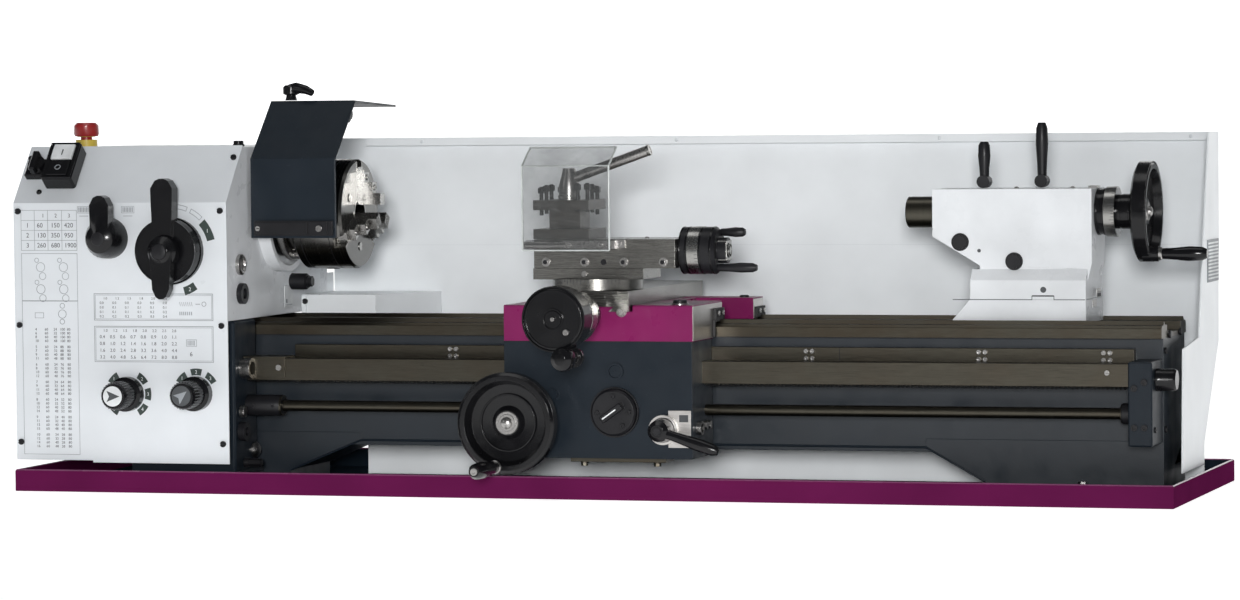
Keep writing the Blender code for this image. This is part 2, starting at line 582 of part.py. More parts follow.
def tailstock():
    base = [(500, 240.6), (529, 274), (694, 274), (694, 240.6)]
    solid("tailstock_base", [prism("y", base, -60, 60), block(540, 680, -44, 44, 228, 245)])
    upper = [(TAIL_LEFT, 428), (TAIL_LEFT, 362), (541, 321), (541, 298), (694, 298), (TAIL_RIGHT, 325), (TAIL_RIGHT, 428)]
    lower = [(-60, 274 + FIT), (-60, 301), (-46, 316), (46, 316), (60, 301), (60, 274 + FIT)]
    cuts = [rod("x", (0, 0, AXIS_Z), TAIL_LEFT - 5, 668, 22 + FIT, 32)]
    solid("tailstock_body", [prism("y", upper, -46, 46), prism("x", lower, 530, 694)], cuts)
    tip = QUILL_TIP
    bore = [(tip + 85, 0), (tip + 85, 9.5), (tip, 12), (tip, 20.5), (tip + 1.5, 22), (620, 22), (620, 0)]
    solid("quill", [turned("x", (0, 0, AXIS_Z), bore, 32)])
    x = TAIL_RIGHT + FIT
    wheel = [(x, 0), (x, 32), (713, 32), (713, 33), (729, 33), (729, 24), (748, 24), (754, 34), (757, 64), (760, 69)]
    wheel += [(776, 70), (779, 67), (779, 60), (768, 57), (764, 22), (770, 18), (770, 0)]
    boss = rod("x", (0, -24, AXIS_Z - 58), 768, 790, 11, 16)
    solid("tailstock_handwheel", [turned("x", (0, 0, AXIS_Z), wheel, 40), boss])
    solid("tailstock_grip", [grip("x", (0, -24, AXIS_Z - 58), 790 + FIT, 67.7, 10.5)])
    for name, at, length in (("quill_lock_lever", (543, -22), 57), ("tailstock_clamp_lever", (619, 8), 83)):
        hub = rod("y", (at[0], 0, 438), at[1] - 11, at[1] + 11, 9, 18)
        solid(name, [hub, grip("z", (at[0], at[1], 0), 441, length - 4, 9, 14)])


# ---------- assembly ----------

for item in list(bpy.data.objects):
    bpy.data.objects.remove(item)

for build in (
    drip_tray, bed, rack, splash_guard, front_panel, headstock, gear_housing, gear_cover, rear_box, motor,
    pulleys_and_belt, guard_bracket, chuck_guard, switches, levers, spindle, chuck, rods, leadscrew_cover,
    leadscrew_bracket, saddle, apron, cross_slide, compound, tool_post, tool_shield, tailstock,
):
    build()
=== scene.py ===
"""Looks of a bench lathe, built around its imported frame.

Lengths are in millimetres, with Y zero on the spindle axis.
"""

import json
import math

import bmesh
import bpy
from mathutils import Matrix, Vector

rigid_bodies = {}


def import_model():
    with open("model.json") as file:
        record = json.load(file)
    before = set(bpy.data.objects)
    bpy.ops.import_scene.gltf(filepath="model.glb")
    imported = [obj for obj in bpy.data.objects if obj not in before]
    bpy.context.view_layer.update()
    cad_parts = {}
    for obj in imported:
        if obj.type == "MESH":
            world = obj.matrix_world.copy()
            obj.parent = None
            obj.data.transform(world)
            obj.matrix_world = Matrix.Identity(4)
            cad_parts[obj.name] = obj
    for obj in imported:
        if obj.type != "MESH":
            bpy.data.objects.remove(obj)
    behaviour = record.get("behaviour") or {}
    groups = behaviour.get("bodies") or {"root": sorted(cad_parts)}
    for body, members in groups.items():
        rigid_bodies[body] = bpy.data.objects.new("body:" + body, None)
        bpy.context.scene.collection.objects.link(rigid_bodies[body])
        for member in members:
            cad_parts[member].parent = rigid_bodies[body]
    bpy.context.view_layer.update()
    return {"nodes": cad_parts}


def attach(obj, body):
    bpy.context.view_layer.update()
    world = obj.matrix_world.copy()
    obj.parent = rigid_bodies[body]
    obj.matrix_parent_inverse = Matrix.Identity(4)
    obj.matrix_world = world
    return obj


MM = 0.001
DEPTH = 66.5  # the spindle axis stands this far behind the frame's own Y zero

AXIS_Z = 395.0
PANEL_Y, PANEL_FOLD_Z = -205.0, 417.0
SLOPE_Y, SLOPE_Z = 0.643, 0.766
SLOPE_DEG = math.degrees(math.atan2(SLOPE_Y, SLOPE_Z))
HEAD_RIGHT, HEAD_BACK = -527.0, 204.0
SPLASH_END = 828.0
APRON_Y = -195.0
SCREW_Y, SCREW_Z, FEED_Z = -126.0, 168.0, 121.0
CHUCK_BACK, CHUCK_FACE, CHUCK_R = -478.0, -398.0, 80.0
CROSS_X, TOP_Y, TOP_Z = 11.0, -141.0, 346.0
POST_X = -30.0
SWITCH_X = -789.0
KNOBS = {"left": (-681.5, 141), "right": (-575.5, 142.5)}
SPEED_HUB = (-609, 348)
CARRIAGE_WHEEL = (-91.0, 108.0)
SELECTOR = (51.0, 121.0)
HALF_NUT_HUB = (122.5, 0, 97)
CROSS_SCREW_Z = 258.5
HEAD_AXIS = (0, 0, AXIS_Z)
PRINT_OUT, PRINT_IN = 0.16, 0.1  # how far the print stands out of the sheet and reaches into it
QUILL_TIP = 428.0
CAMERA_AT = (2.0289, -6.4972, 0.5705)
CAMERA_YAW, CAMERA_PITCH, CAMERA_ROLL = 17.18, 2.51, -0.61
CAMERA_LENS = 138.52
FLOOR_HALF, CURVE_START, CURVE_R, WALL_TOP = 32.0, 22.0, 4.0, 14.0  # metres


# ---------- shapes: each is (vertices, faces) ----------


def place(axis, centre, along, u, v):
    x, y, z = centre
    if axis == "x":
        return (x + along, y + u, z + v)
    if axis == "y":
        return (x + u, y + along, z + v)
    return (x + u, y + v, z + along)


def prism(axis, outline, low, high, centre=(0, 0, 0)):
    n = len(outline)
    verts = [place(axis, centre, a, u, v) for a in (low, high) for u, v in outline]
    faces = [list(range(n)), list(range(2 * n - 1, n - 1, -1))]
    faces += [[i, (i + 1) % n, n + (i + 1) % n, n + i] for i in range(n)]
    return verts, faces


def block(x0, x1, y0, y1, z0, z1):
    return prism("z", [(x0, y0), (x1, y0), (x1, y1), (x0, y1)], z0, z1)


def circle(radius, sides, start=0.0):
    turn = 2 * math.pi / sides
    return [(radius * math.cos(start + i * turn), radius * math.sin(start + i * turn))
            for i in range(sides)]


def turned(axis, centre, profile, sides=48, closed=False):
    verts, rows = [], []
    for along, radius in profile:
        first = len(verts)
        if radius < 1e-6:
            verts.append(place(axis, centre, along, 0, 0))
            rows.append([first] * sides)
        else:
            verts += [place(axis, centre, along, u, v) for u, v in circle(radius, sides)]
            rows.append(list(range(first, first + sides)))
    pairs = list(zip(rows, rows[1:]))
    if closed:
        pairs.append((rows[-1], rows[0]))
    faces = []
    for low, high in pairs:
        for i in range(sides):
            j = (i + 1) % sides
            face = list(dict.fromkeys([low[i], low[j], high[j], high[i]]))
            if len(face) > 2:
                faces.append(face)
    return verts, faces


def ring(axis, centre, low, high, outer, inner, sides=40):
    return turned(axis, centre, [(low, inner), (low, outer), (high, outer), (high, inner)], sides,
                  closed=True)


def rod(axis, centre, low, high, radius, sides=24, chamfer=0.0):
    c = chamfer
    profile = [(low, 0), (low, radius - c), (low + c, radius), (high - c, radius), (high, radius - c),
               (high, 0)]
    if not c:
        profile = [(low, 0), (low, radius), (high, radius), (high, 0)]
    return turned(axis, centre, profile, sides)


def tube(points, radii, sides=12):
    points = [Vector(p) for p in points]
    if not isinstance(radii, (list, tuple)):
        radii = [radii] * len(points)
    verts, faces = [], []
    side = Vector((0, 0, 1))
    for i, point in enumerate(points):
        ahead = (points[min(i + 1, len(points) - 1)] - points[max(i - 1, 0)]).normalized()
        if abs(ahead.dot(side)) > 0.9:
            side = Vector((1, 0, 0))
        side = (side - ahead * side.dot(ahead)).normalized()
        other = ahead.cross(side)
        for u, v in circle(radii[i], sides):
            verts.append(tuple(point + side * u + other * v))
    for i in range(len(points) - 1):
        for k in range(sides):
            a, b = i * sides + k, i * sides + (k + 1) % sides
            faces.append([a, b, b + sides, a + sides])
    faces.append(list(range(sides)))
    faces.append(list(range(len(verts) - sides, len(verts))))
    return verts, faces


def moved(shape, matrix):
    verts, faces = shape
    return [tuple(matrix @ Vector(v)) for v in verts], faces


def turn_about(point, axis, degrees):
    spin = Matrix.Rotation(math.radians(degrees), 4, axis)
    return Matrix.Translation(point) @ spin @ Matrix.Translation(-Vector(point))


def on_slope(along, out):
    """A point of the panel's leaning part: distance up from the fold, and out from the sheet."""
    return PANEL_Y + SLOPE_Y * along - SLOPE_Z * out, PANEL_FOLD_Z + SLOPE_Z * along + SLOPE_Y * out


def leaning(shape, along, out=0.0, x=0.0):
    """Tilts an upright shape made at the origin and sets it on the panel's leaning part."""
    y, z = on_slope(along, out)
    verts, faces = moved(shape, Matrix.Rotation(math.radians(-SLOPE_DEG), 4, "X"))
    return [(a + x, b + y, c + z) for a, b, c in verts], faces


def slope_box(x0, x1, low, high, near, far):
    outline = [on_slope(low, near), on_slope(high, near), on_slope(high, far), on_slope(low, far)]
    return prism("x", outline, x0, x1)


# ---------- fasteners and small parts ----------


def outward(axis, sign, at, low, high, radius, sides=20, chamfer=0.0):
    """A disc that stands out from `at`, towards the sign side of the axis."""
    a, b = sorted((low * sign, high * sign))
    return rod(axis, at, a, b, radius, sides, chamfer)


def dome(axis, sign, at, radius, height, sides=20):
    steps = [(0, 1), (0.45, 0.93), (0.8, 0.66), (1, 0.3), (1, 0)]
    profile = [(0, 0)] + [(sign * height * a, radius * r) for a, r in steps]
    return turned(axis, at, profile, sides)


def socket_screw(axis, sign, at, radius, height):
    """Cap screw with a six-sided socket."""
    top, low = sign * height, sign * height * 0.35
    cup = radius * 0.52
    outer = [(0, 0), (0, radius), (top * 0.85, radius), (top, radius * 0.9)]
    verts, faces = turned(axis, at, outer, 24)
    first = len(verts) - 24
    base = len(verts)
    hexagon = circle(cup, 6)
    verts += [place(axis, at, top, u, v) for u, v in hexagon]
    verts += [place(axis, at, low, u, v) for u, v in hexagon]
    for k in range(6):
        rim = [first + (4 * k + i) % 24 for i in range(5)]
        faces.append(rim + [base + (k + 1) % 6, base + k])
        faces.append([base + k, base + (k + 1) % 6, base + 6 + (k + 1) % 6, base + 6 + k])
    faces.append([base + 6 + k for k in range(6)])
    return verts, faces


def hex_bolt(axis, sign, at, radius, height, start=0.3):
    a, b = sorted((0, sign * height))
    c, d = sorted((0, sign * height * 0.25))
    return [prism(axis, circle(radius, 6, start), a, b, at), rod(axis, at, c, d, radius * 1.15, 24)]


def slot_screw(axis, sign, at, radius, height):
    """Domed screw head with a driver's slot, as two half heads."""
    gap = radius * 0.16
    halves = []
    for side in (1, -1):
        outline = [(u, v) for u, v in circle(radius, 24) if v * side > gap]
        outline.sort(key=lambda p: p[0] * side)
        reach = side * math.sqrt(radius**2 - gap**2)
        outline = [(-reach, side * gap)] + outline + [(reach, side * gap)]
        a, b = sorted((sign * height * 0.3, sign * height))
        halves.append(prism(axis, outline, a, b, at))
    a, b = sorted((0, sign * height * 0.5))
    return halves + [rod(axis, at, a, b, radius * 0.98, 24)]


def plug(axis, sign, at, radius, height):
    """A flanged plug with a raised knurled cap."""
    a, b = sorted((0, sign * height))
    shapes = [outward(axis, sign, at, 0, height * 0.35, radius, 28, 0.3)]
    star = [(r * radius * (0.8 if i % 2 else 0.72), s * radius * (0.8 if i % 2 else 0.72))
            for i, (r, s) in enumerate(circle(1, 24))]
    shapes.append(prism(axis, star, a, b, at))
    return shapes


# ---------- pieces ----------


def soften(obj, width, angle=32.0):
    """Joins split edges, rounds the sharp ones and shades the rest smoothly."""
    mesh = obj.data
    if "custom_normal" in mesh.attributes:
        mesh.attributes.remove(mesh.attributes["custom_normal"])
    mesh.polygons.foreach_set("use_smooth", [True] * len(mesh.polygons))
    weld = obj.modifiers.new("weld", "WELD")
    weld.merge_threshold = 2e-6
    bevel = obj.modifiers.new("edges", "BEVEL")
    bevel.width = width * MM
    bevel.segments = 2
    bevel.limit_method = "ANGLE"
    bevel.angle_limit = math.radians(angle)
    bevel.harden_normals = True
    bevel.miter_outer = "MITER_ARC"


def piece(name, body, look, shapes, edge=0.4, angle=32.0):
    """Makes one mesh from shapes, in the frame's metres, and lets it ride on a body."""
    bm = bmesh.new()
    for verts, faces in shapes:
        made = [bm.verts.new((x * MM, (y + DEPTH) * MM, z * MM)) for x, y, z in verts]
        for face in faces:
            bm.faces.new([made[i] for i in face])
    bmesh.ops.recalc_face_normals(bm, faces=bm.faces)
    mesh = bpy.data.meshes.new(name)
    bm.to_mesh(mesh)
    bm.free()
    mesh.materials.append(LOOK[look])
    obj = bpy.data.objects.new(name, mesh)
    bpy.context.scene.collection.objects.link(obj)
    soften(obj, edge, angle)
    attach(obj, body)
    return obj


# ---------- materials ----------


class Graph:
    """The nodes of one material around its Principled shader."""

    def __init__(self, name):
        self.material = bpy.data.materials.new(name)
        self.material.use_nodes = True
        self.tree = self.material.node_tree
        self.shader = self.tree.nodes["Principled BSDF"]
        self.coords = self.tree.nodes.new("ShaderNodeTexCoord").outputs["Object"]

    def link(self, value, socket):
        if isinstance(value, bpy.types.NodeSocket):
            self.tree.links.new(value, socket)
        else:
            socket.default_value = value

    def math(self, operation, a, b=0.0, clamp=False):
        node = self.tree.nodes.new("ShaderNodeMath")
        node.operation = operation
        node.use_clamp = clamp
        self.link(a, node.inputs[0])
        self.link(b, node.inputs[1])
        return node.outputs[0]

    def noise(self, scale, detail=3.0, vector=None, rough=0.5):
        node = self.tree.nodes.new("ShaderNodeTexNoise")
        node.inputs["Scale"].default_value = scale
        node.inputs["Detail"].default_value = detail
        node.inputs["Roughness"].default_value = rough
        self.link(self.coords if vector is None else vector, node.inputs["Vector"])
        return node.outputs[0]

    def stretched(self, scale):
        node = self.tree.nodes.new("ShaderNodeMapping")
        self.link(self.coords, node.inputs["Vector"])
        node.inputs["Scale"].default_value = scale
        return node.outputs[0]

    def ramp(self, value, low, high, out_low=0.0, out_high=1.0):
        node = self.tree.nodes.new("ShaderNodeMapRange")
        self.link(value, node.inputs["Value"])
        for key, number in (("From Min", low), ("From Max", high), ("To Min", out_low),
                            ("To Max", out_high)):
            node.inputs[key].default_value = number
        return node.outputs["Result"]

    def mix(self, factor, a, b):
        node = self.tree.nodes.new("ShaderNodeMix")
        node.data_type = "RGBA"
        self.link(factor, node.inputs[0])
        self.link(a, node.inputs[6])
        self.link(b, node.inputs[7])
        return node.outputs[2]

    def split(self):
        node = self.tree.nodes.new("ShaderNodeSeparateXYZ")
        self.link(self.coords, node.inputs[0])
        return node.outputs

    def round_coords(self, axis, centre):
        """Distance from a turning axis and along it, so that marks run round the axis."""
        others = [i for i in range(3) if i != axis]
        parts = self.split()
        offsets = [self.math("SUBTRACT", parts[i], centre[i]) for i in others]
        squares = [self.math("MULTIPLY", o, o) for o in offsets]
        radius = self.math("SQRT", self.math("ADD", *squares))
        node = self.tree.nodes.new("ShaderNodeCombineXYZ")
        self.link(radius, node.inputs[0])
        self.link(parts[axis], node.inputs[1])
        return node.outputs[0]

    def bump(self, height, distance, strength=1.0, below=None):
        node = self.tree.nodes.new("ShaderNodeBump")
        node.inputs["Distance"].default_value = distance
        node.inputs["Strength"].default_value = strength
        self.link(height, node.inputs["Height"])
        if below is not None:
            self.link(below, node.inputs["Normal"])
        return node.outputs[0]

    def finish(self, colour, rough, normal=None, **fixed):
        self.link(colour, self.shader.inputs["Base Color"])
        self.link(rough, self.shader.inputs["Roughness"])
        if normal is not None:
            self.link(normal, self.shader.inputs["Normal"])
        for key, value in fixed.items():
            self.link(value, self.shader.inputs[key.replace("_", " ")])
        return self.material


def rgba(colour, gain=1.0):
    return (*(min(1.0, c * gain) for c in colour), 1.0)


def paint(name, colour, rough=0.3, grain=420.0, depth=0.00006, patches=0.06, coat=0.3, dust=0.0):
    """Sprayed enamel: slight orange peel, soft patches of tone and a little dust."""
    g = Graph(name)
    wide = g.noise(7.0, 4.0)
    tone = g.mix(g.ramp(wide, 0.3, 0.7), rgba(colour, 1 - patches), rgba(colour, 1 + patches))
    specks = g.ramp(g.noise(260.0, 5.0, rough=0.7), 0.6, 0.72)
    tone = g.mix(g.math("MULTIPLY", specks, dust), tone, rgba((0.45, 0.43, 0.4)))
    peel = g.bump(g.noise(grain, 2.0), depth, 0.6)
    shine = g.ramp(g.noise(18.0, 5.0), 0.3, 0.7, rough - 0.05, rough + 0.08)
    return g.finish(tone, shine, peel, Coat_Weight=coat, Coat_Roughness=0.12)


def casting_paint(name, colour, rough=0.38, lump=0.0006, dust=0.05):
    """Enamel over filled iron: broad waves, fine pits and faint scuffs."""
    g = Graph(name)
    tone = g.mix(g.ramp(g.noise(9.0, 5.0), 0.3, 0.7), rgba(colour, 0.9), rgba(colour, 1.12))
    scuff = g.ramp(g.noise(90.0, 8.0, g.stretched((1.0, 1.0, 2.5)), 0.75), 0.62, 0.7)
    tone = g.mix(g.math("MULTIPLY", scuff, dust), tone, rgba((0.3, 0.31, 0.33)))
    waves = g.bump(g.noise(45.0, 3.0), lump, 0.5)
    pits = g.bump(g.noise(520.0, 4.0), 0.00008, 0.7, waves)
    shine = g.ramp(g.noise(30.0, 6.0), 0.25, 0.75, rough - 0.08, rough + 0.12)
    return g.finish(tone, shine, pits, Specular_IOR_Level=0.2)


def ground_metal(name, colour, rough=0.32, scale=(3.0, 160.0, 160.0), stain=0.35,
                 stain_colour=(0.07, 0.055, 0.04)):
    """Ground steel: fine scratches along one direction and thin oily stains."""
    g = Graph(name)
    streaks = g.noise(14.0, 6.0, g.stretched(scale), 0.7)
    tone = g.mix(g.ramp(streaks, 0.3, 0.7), rgba(colour, 0.78), rgba(colour, 1.2))
    oil = g.ramp(g.noise(11.0, 6.0, rough=0.65), 0.46, 0.66)
    tone = g.mix(g.math("MULTIPLY", oil, stain), tone, rgba(stain_colour))
    shine = g.ramp(streaks, 0.25, 0.75, rough - 0.08, rough + 0.14)
    return g.finish(tone, shine, g.bump(streaks, 0.00005, 0.5), Metallic=1.0)


def turned_metal(name, colour, axis, centre, rough=0.25, lines=900.0, stain=0.15):
    """Turned steel: tool marks that run round the axis."""
    g = Graph(name)
    marks = g.noise(lines, 5.0, g.round_coords(axis, centre), 0.75)
    tone = g.mix(g.ramp(marks, 0.3, 0.7), rgba(colour, 0.8), rgba(colour, 1.15))
    smear = g.ramp(g.noise(22.0, 6.0, rough=0.7), 0.5, 0.68)
    tone = g.mix(g.math("MULTIPLY", smear, stain), tone, rgba((0.12, 0.1, 0.08)))
    shine = g.ramp(marks, 0.25, 0.75, rough - 0.06, rough + 0.12)
    return g.finish(tone, shine, g.bump(marks, 0.00004, 0.6), Metallic=1.0)


def plastic(name, colour, rough=0.16, coat=0.6, dust=0.12, grain=300.0, gloss=0.5):
    """Glossy moulding with faint ripples, finger marks and dust."""
    g = Graph(name)
    tone = g.mix(g.ramp(g.noise(25.0, 4.0), 0.35, 0.7), rgba(colour, 0.85), rgba(colour, 1.25))
    specks = g.ramp(g.noise(420.0, 6.0, rough=0.8), 0.62, 0.74)
    tone = g.mix(g.math("MULTIPLY", specks, dust), tone, rgba((0.35, 0.34, 0.32)))
    shine = g.ramp(g.noise(40.0, 6.0), 0.3, 0.75, rough - 0.04, rough + 0.16)
    ripple = g.bump(g.noise(grain, 2.0), 0.00004, 0.5)
    return g.finish(tone, shine, ripple, Coat_Weight=coat, Coat_Roughness=0.08, Specular_IOR_Level=gloss)


def clear_sheet(name):
    """Hazy acrylic with wiping scratches."""
    g = Graph(name)
    scratch = g.ramp(g.noise(60.0, 8.0, g.stretched((1.0, 1.0, 5.0)), 0.8), 0.5, 0.75)
    smears = g.ramp(g.noise(24.0, 5.0, rough=0.7), 0.4, 0.7)
    tone = g.mix(scratch, rgba((0.12, 0.125, 0.125)), rgba((0.34, 0.35, 0.35)))
    shine = g.math("ADD", g.math("MULTIPLY", scratch, 0.2), 0.08)
    haze = g.math("ADD", g.math("MULTIPLY", smears, 0.1), 0.2)
    return g.finish(tone, shine, IOR=1.3, Alpha=haze)


def bed_material():
    """Machine paint below, ground iron on the ways."""
    g = Graph("bed_iron")
    parts = g.split()
    bare = g.ramp(parts[2], 0.2218, 0.2222)
    tone = g.mix(g.ramp(g.noise(9.0, 5.0), 0.3, 0.7), rgba(BODY, 0.9), rgba(BODY, 1.15))
    streaks = g.noise(14.0, 6.0, g.stretched((3.0, 160.0, 160.0)), 0.7)
    steel = g.mix(g.ramp(streaks, 0.3, 0.7), rgba(GROUND, 0.7), rgba(GROUND, 1.2))
    oil = g.ramp(g.noise(12.0, 6.0, g.stretched((0.6, 1.0, 1.0)), 0.65), 0.42, 0.62)
    steel = g.mix(g.math("MULTIPLY", oil, 0.5), steel, rgba((0.06, 0.045, 0.03)))
    paint_shine = g.ramp(g.noise(30.0, 6.0), 0.25, 0.75, 0.3, 0.5)
    steel_shine = g.ramp(streaks, 0.25, 0.75, 0.26, 0.45)
    shine = g.math("ADD", g.math("MULTIPLY", steel_shine, bare),
                   g.math("MULTIPLY", paint_shine, g.math("SUBTRACT", 1.0, bare)))
    waves = g.bump(g.noise(45.0, 3.0), 0.0005, 0.5)
    normal = g.bump(g.noise(520.0, 4.0), 0.00007, 0.7, waves)
    return g.finish(g.mix(bare, tone, steel), shine, normal, Metallic=bare)


def tray_material():
    """Purple outside; inside the lip a dark body tone, which is painted shade of the tray's hollow."""
    g = Graph("tray_paint")
    x, y, z = g.split()
    inside_x = g.math("LESS_THAN", g.math("ABSOLUTE", x), 0.8455)
    inside_y = g.math("LESS_THAN", g.math("ABSOLUTE", g.math("SUBTRACT", y, 0.0765)), 0.2345)
    inside = g.math("MULTIPLY", g.math("MULTIPLY", inside_x, inside_y), g.math("GREATER_THAN", z, 0.002))
    wide = g.ramp(g.noise(7.0, 4.0), 0.3, 0.7)
    purple = g.mix(wide, rgba(PURPLE, 0.88), rgba(PURPLE, 1.1))
    # painted shade: the tray's inside is given this dark colour in place of the purple, to stand for the
    # shade in its hollow
    dark = g.mix(wide, rgba(BODY, 0.7), rgba(BODY, 1.1))
    shine = g.ramp(g.noise(18.0, 5.0), 0.3, 0.7, 0.28, 0.45)
    normal = g.bump(g.noise(420.0, 2.0), 0.00006, 0.6)
    return g.finish(g.mix(inside, purple, dark), shine, normal, Specular_IOR_Level=0.0)


BODY = (0.010, 0.0155, 0.0225)
GROUND = (0.075, 0.069, 0.055)
PURPLE = (0.105, 0.009, 0.056)
MAGENTA = (0.195, 0.012, 0.088)
WHITE = (0.74, 0.77, 0.8)
STEEL = (0.42, 0.41, 0.4)
BLACK = (0.006, 0.006, 0.007)


def make_materials():
    spindle = (0.0, DEPTH * MM, AXIS_Z * MM)
    return {
        "tray": tray_material(),
        "bed": bed_material(),
        "body": casting_paint("body_paint", BODY),
        "sheet": paint("sheet_paint", WHITE, rough=0.32),
        "splash": paint("splash_paint", (0.88, 0.91, 0.93), rough=0.4, coat=0.1),
        "white": casting_paint("casting_white", (0.74, 0.76, 0.78), rough=0.3, lump=0.0004, dust=0.04),
        "magenta": casting_paint("saddle_paint", MAGENTA, rough=0.3, lump=0.0004),
        "black": plastic("black_plastic", BLACK, coat=0.15, dust=0.04, gloss=0.25),
        "black_metal": plastic("black_metal", (0.010, 0.010, 0.012), rough=0.36, coat=0.0, dust=0.06,
                               gloss=0.3),
        "dark_ground": ground_metal("ground_steel", GROUND),
        "steel": ground_metal("bright_steel", STEEL, rough=0.26, scale=(60.0, 60.0, 60.0), stain=0.15),
        "chuck": turned_metal("chuck_steel", (0.15, 0.147, 0.14), 0, spindle, rough=0.2),
        "quill": turned_metal("quill_steel", (0.085, 0.08, 0.065), 0, spindle, rough=0.3),
        "jaw": ground_metal("jaw_steel", (0.42, 0.415, 0.4), rough=0.22, scale=(120.0, 30.0, 30.0),
                            stain=0.1),
        "red": plastic("red_plastic", (0.33, 0.012, 0.012), rough=0.3, coat=0.3),
        "yellow": plastic("yellow_plastic", (0.7, 0.52, 0.08), rough=0.35, coat=0.2),
        "clear": clear_sheet("clear_plastic"),
        "rubber": plastic("belt_rubber", (0.02, 0.02, 0.02), rough=0.6, coat=0.0),
        "tray_lip": paint("tray_lip_paint", (0.2, 0.05, 0.13), rough=0.25),
        "dial": turned_metal("dial_steel", (0.36, 0.355, 0.34), 2, (0.0, 0.0, 0.0), rough=0.22,
                             stain=0.05),
        "slide": ground_metal("slide_iron", (0.24, 0.235, 0.22), rough=0.24, stain=0.3,
                              stain_colour=(0.08, 0.075, 0.065)),
        "post": ground_metal("post_steel", (0.09, 0.082, 0.075), rough=0.34, scale=(30.0, 30.0, 30.0)),
        "side_steel": ground_metal("milled_iron", (0.62, 0.6, 0.58), rough=0.36, stain=0.2),
        "side_dark": casting_paint("apron_side_paint", (0.035, 0.042, 0.05)),
        "acrylic_edge": plastic("acrylic_edge", (0.55, 0.58, 0.57), rough=0.2, coat=0.5, dust=0.0),
        "ink": plastic("printed_ink", (0.06, 0.065, 0.07), rough=0.5, coat=0.0, dust=0.0),
        "ink_grey": plastic("printed_grey", (0.28, 0.3, 0.32), rough=0.5, coat=0.0, dust=0.0),
        "ink_green": plastic("printed_green", (0.03, 0.045, 0.04), rough=0.45, coat=0.0, dust=0.0),
        "ink_white": plastic("printed_white", (0.75, 0.77, 0.78), rough=0.45, coat=0.0, dust=0.0),
    }


LOOKS = {
    "tray": ["drip_tray"],
    "bed": ["bed"],
    "body": ["feed_gearbox", "motor", "guard_bracket", "chuck_guard", "leadscrew_bracket", "apron"],
    "sheet": ["front_panel", "gear_cover"],
    "splash": ["splash_guard", "rear_box"],
    "white": ["headstock_casting", "gear_housing", "tailstock_base", "tailstock_body"],
    "magenta": ["saddle"],
    "black": [
        "guard_knob", "switch_housing", "stop_button", "rotary_switch", "direction_lever", "speed_lever",
        "range_lever", "feed_knob_left", "feed_knob_right", "carriage_handwheel", "carriage_grip",
        "cross_handwheel", "cross_grip", "half_nut_lever", "tailstock_handwheel", "tailstock_grip",
    ],
    "black_metal": ["feed_selector", "top_slide_handwheel", "quill_lock_lever", "tailstock_clamp_lever"],
    "dark_ground": ["rack", "leadscrew_cover", "feed_rod", "motor_pulley", "spindle_pulley"],
    "post": ["tool_post"],
    "steel": ["leadscrew", "tool_post_lever", "shield_hinge"],
    "slide": ["top_slide", "cross_slide", "swivel_base"],
    "chuck": ["chuck_body", "spindle"],
    "quill": ["quill"],
    "jaw": ["chuck_jaw_1", "chuck_jaw_2", "chuck_jaw_3"],
    "red": ["estop_button"],
    "yellow": ["estop_base"],
    "clear": ["tool_shield"],
    "rubber": ["drive_belt"],
}

# Rounding of a node's edges in millimetres, where it isn't EDGE.
EDGE = 0.6
EDGES = {"bed": 1.2, "headstock_casting": 1.5, "tailstock_body": 2.0, "apron": 1.5, "saddle": 1.5,
         "tool_shield": 0.6}


def dress_nodes(nodes, looks):
    """Gives each solid of the frame its finish and rounds its edges."""
    chosen = {node: looks[key] for key, names in LOOKS.items() for node in names}
    chosen["start_button"] = looks["ink_white"]
    for name, obj in nodes.items():
        obj.data.materials.clear()
        obj.data.materials.append(chosen[name])
        soften(obj, EDGES.get(name, EDGE))


# ---------- printing on the headstock panel ----------


def lettering(text, size, x, z, y=PANEL_Y):
    """Figures as thin raised print, standing on the panel with their lower left corner at x, z."""
    curve = bpy.data.curves.new("figures", "FONT")
    curve.body = text
    curve.size = size
    curve.extrude = 0.1
    curve.resolution_u = 3
    holder = bpy.data.objects.new("figures", curve)
    bpy.context.scene.collection.objects.link(holder)
    bpy.context.view_layer.update()
    mesh = holder.evaluated_get(bpy.context.evaluated_depsgraph_get()).to_mesh()
    verts = [(x + v.co.x, y - 0.05 - v.co.z, z + v.co.y) for v in mesh.vertices]
    faces = [list(p.vertices) for p in mesh.polygons]
    bpy.data.objects.remove(holder)
    return verts, faces


def print_box(x0, x1, z0, z1):
    return block(x0, x1, PANEL_Y - PRINT_OUT, PANEL_Y + PRINT_IN, z0, z1)


def outline_box(x0, x1, z0, z1, w=0.6):
    bars = [(x0, x1, z0, z0 + w), (x0, x1, z1 - w, z1), (x0, x0 + w, z0, z1), (x1 - w, x1, z0, z1)]
    return [print_box(*bar) for bar in bars]


def sector(centre, inner, outer, start, end):
    """A piece of a flat ring on the panel, between two angles in degrees."""
    steps = max(3, int(abs(end - start) / 6))
    angles = [math.radians(start + (end - start) * i / steps) for i in range(steps + 1)]
    arc = [(outer * math.cos(a), outer * math.sin(a)) for a in angles]
    arc += [(inner * math.cos(a), inner * math.sin(a)) for a in reversed(angles)]
    return prism("y", arc, PANEL_Y - PRINT_OUT, PANEL_Y + PRINT_IN, (centre[0], 0, centre[1]))


def cell_outline(centre, inner, outer, start, end, w=0.9):
    turn = math.degrees(w / outer)
    return [
        sector(centre, outer - w, outer, start, end), sector(centre, inner, inner + w, start, end),
        sector(centre, inner, outer, start, start + turn), sector(centre, inner, outer, end - turn, end),
    ]


def print_ring(x, z, radius, sides=24):
    return ring("y", (x, PANEL_Y, z), -PRINT_OUT, PRINT_IN, radius, radius - 0.8, sides)


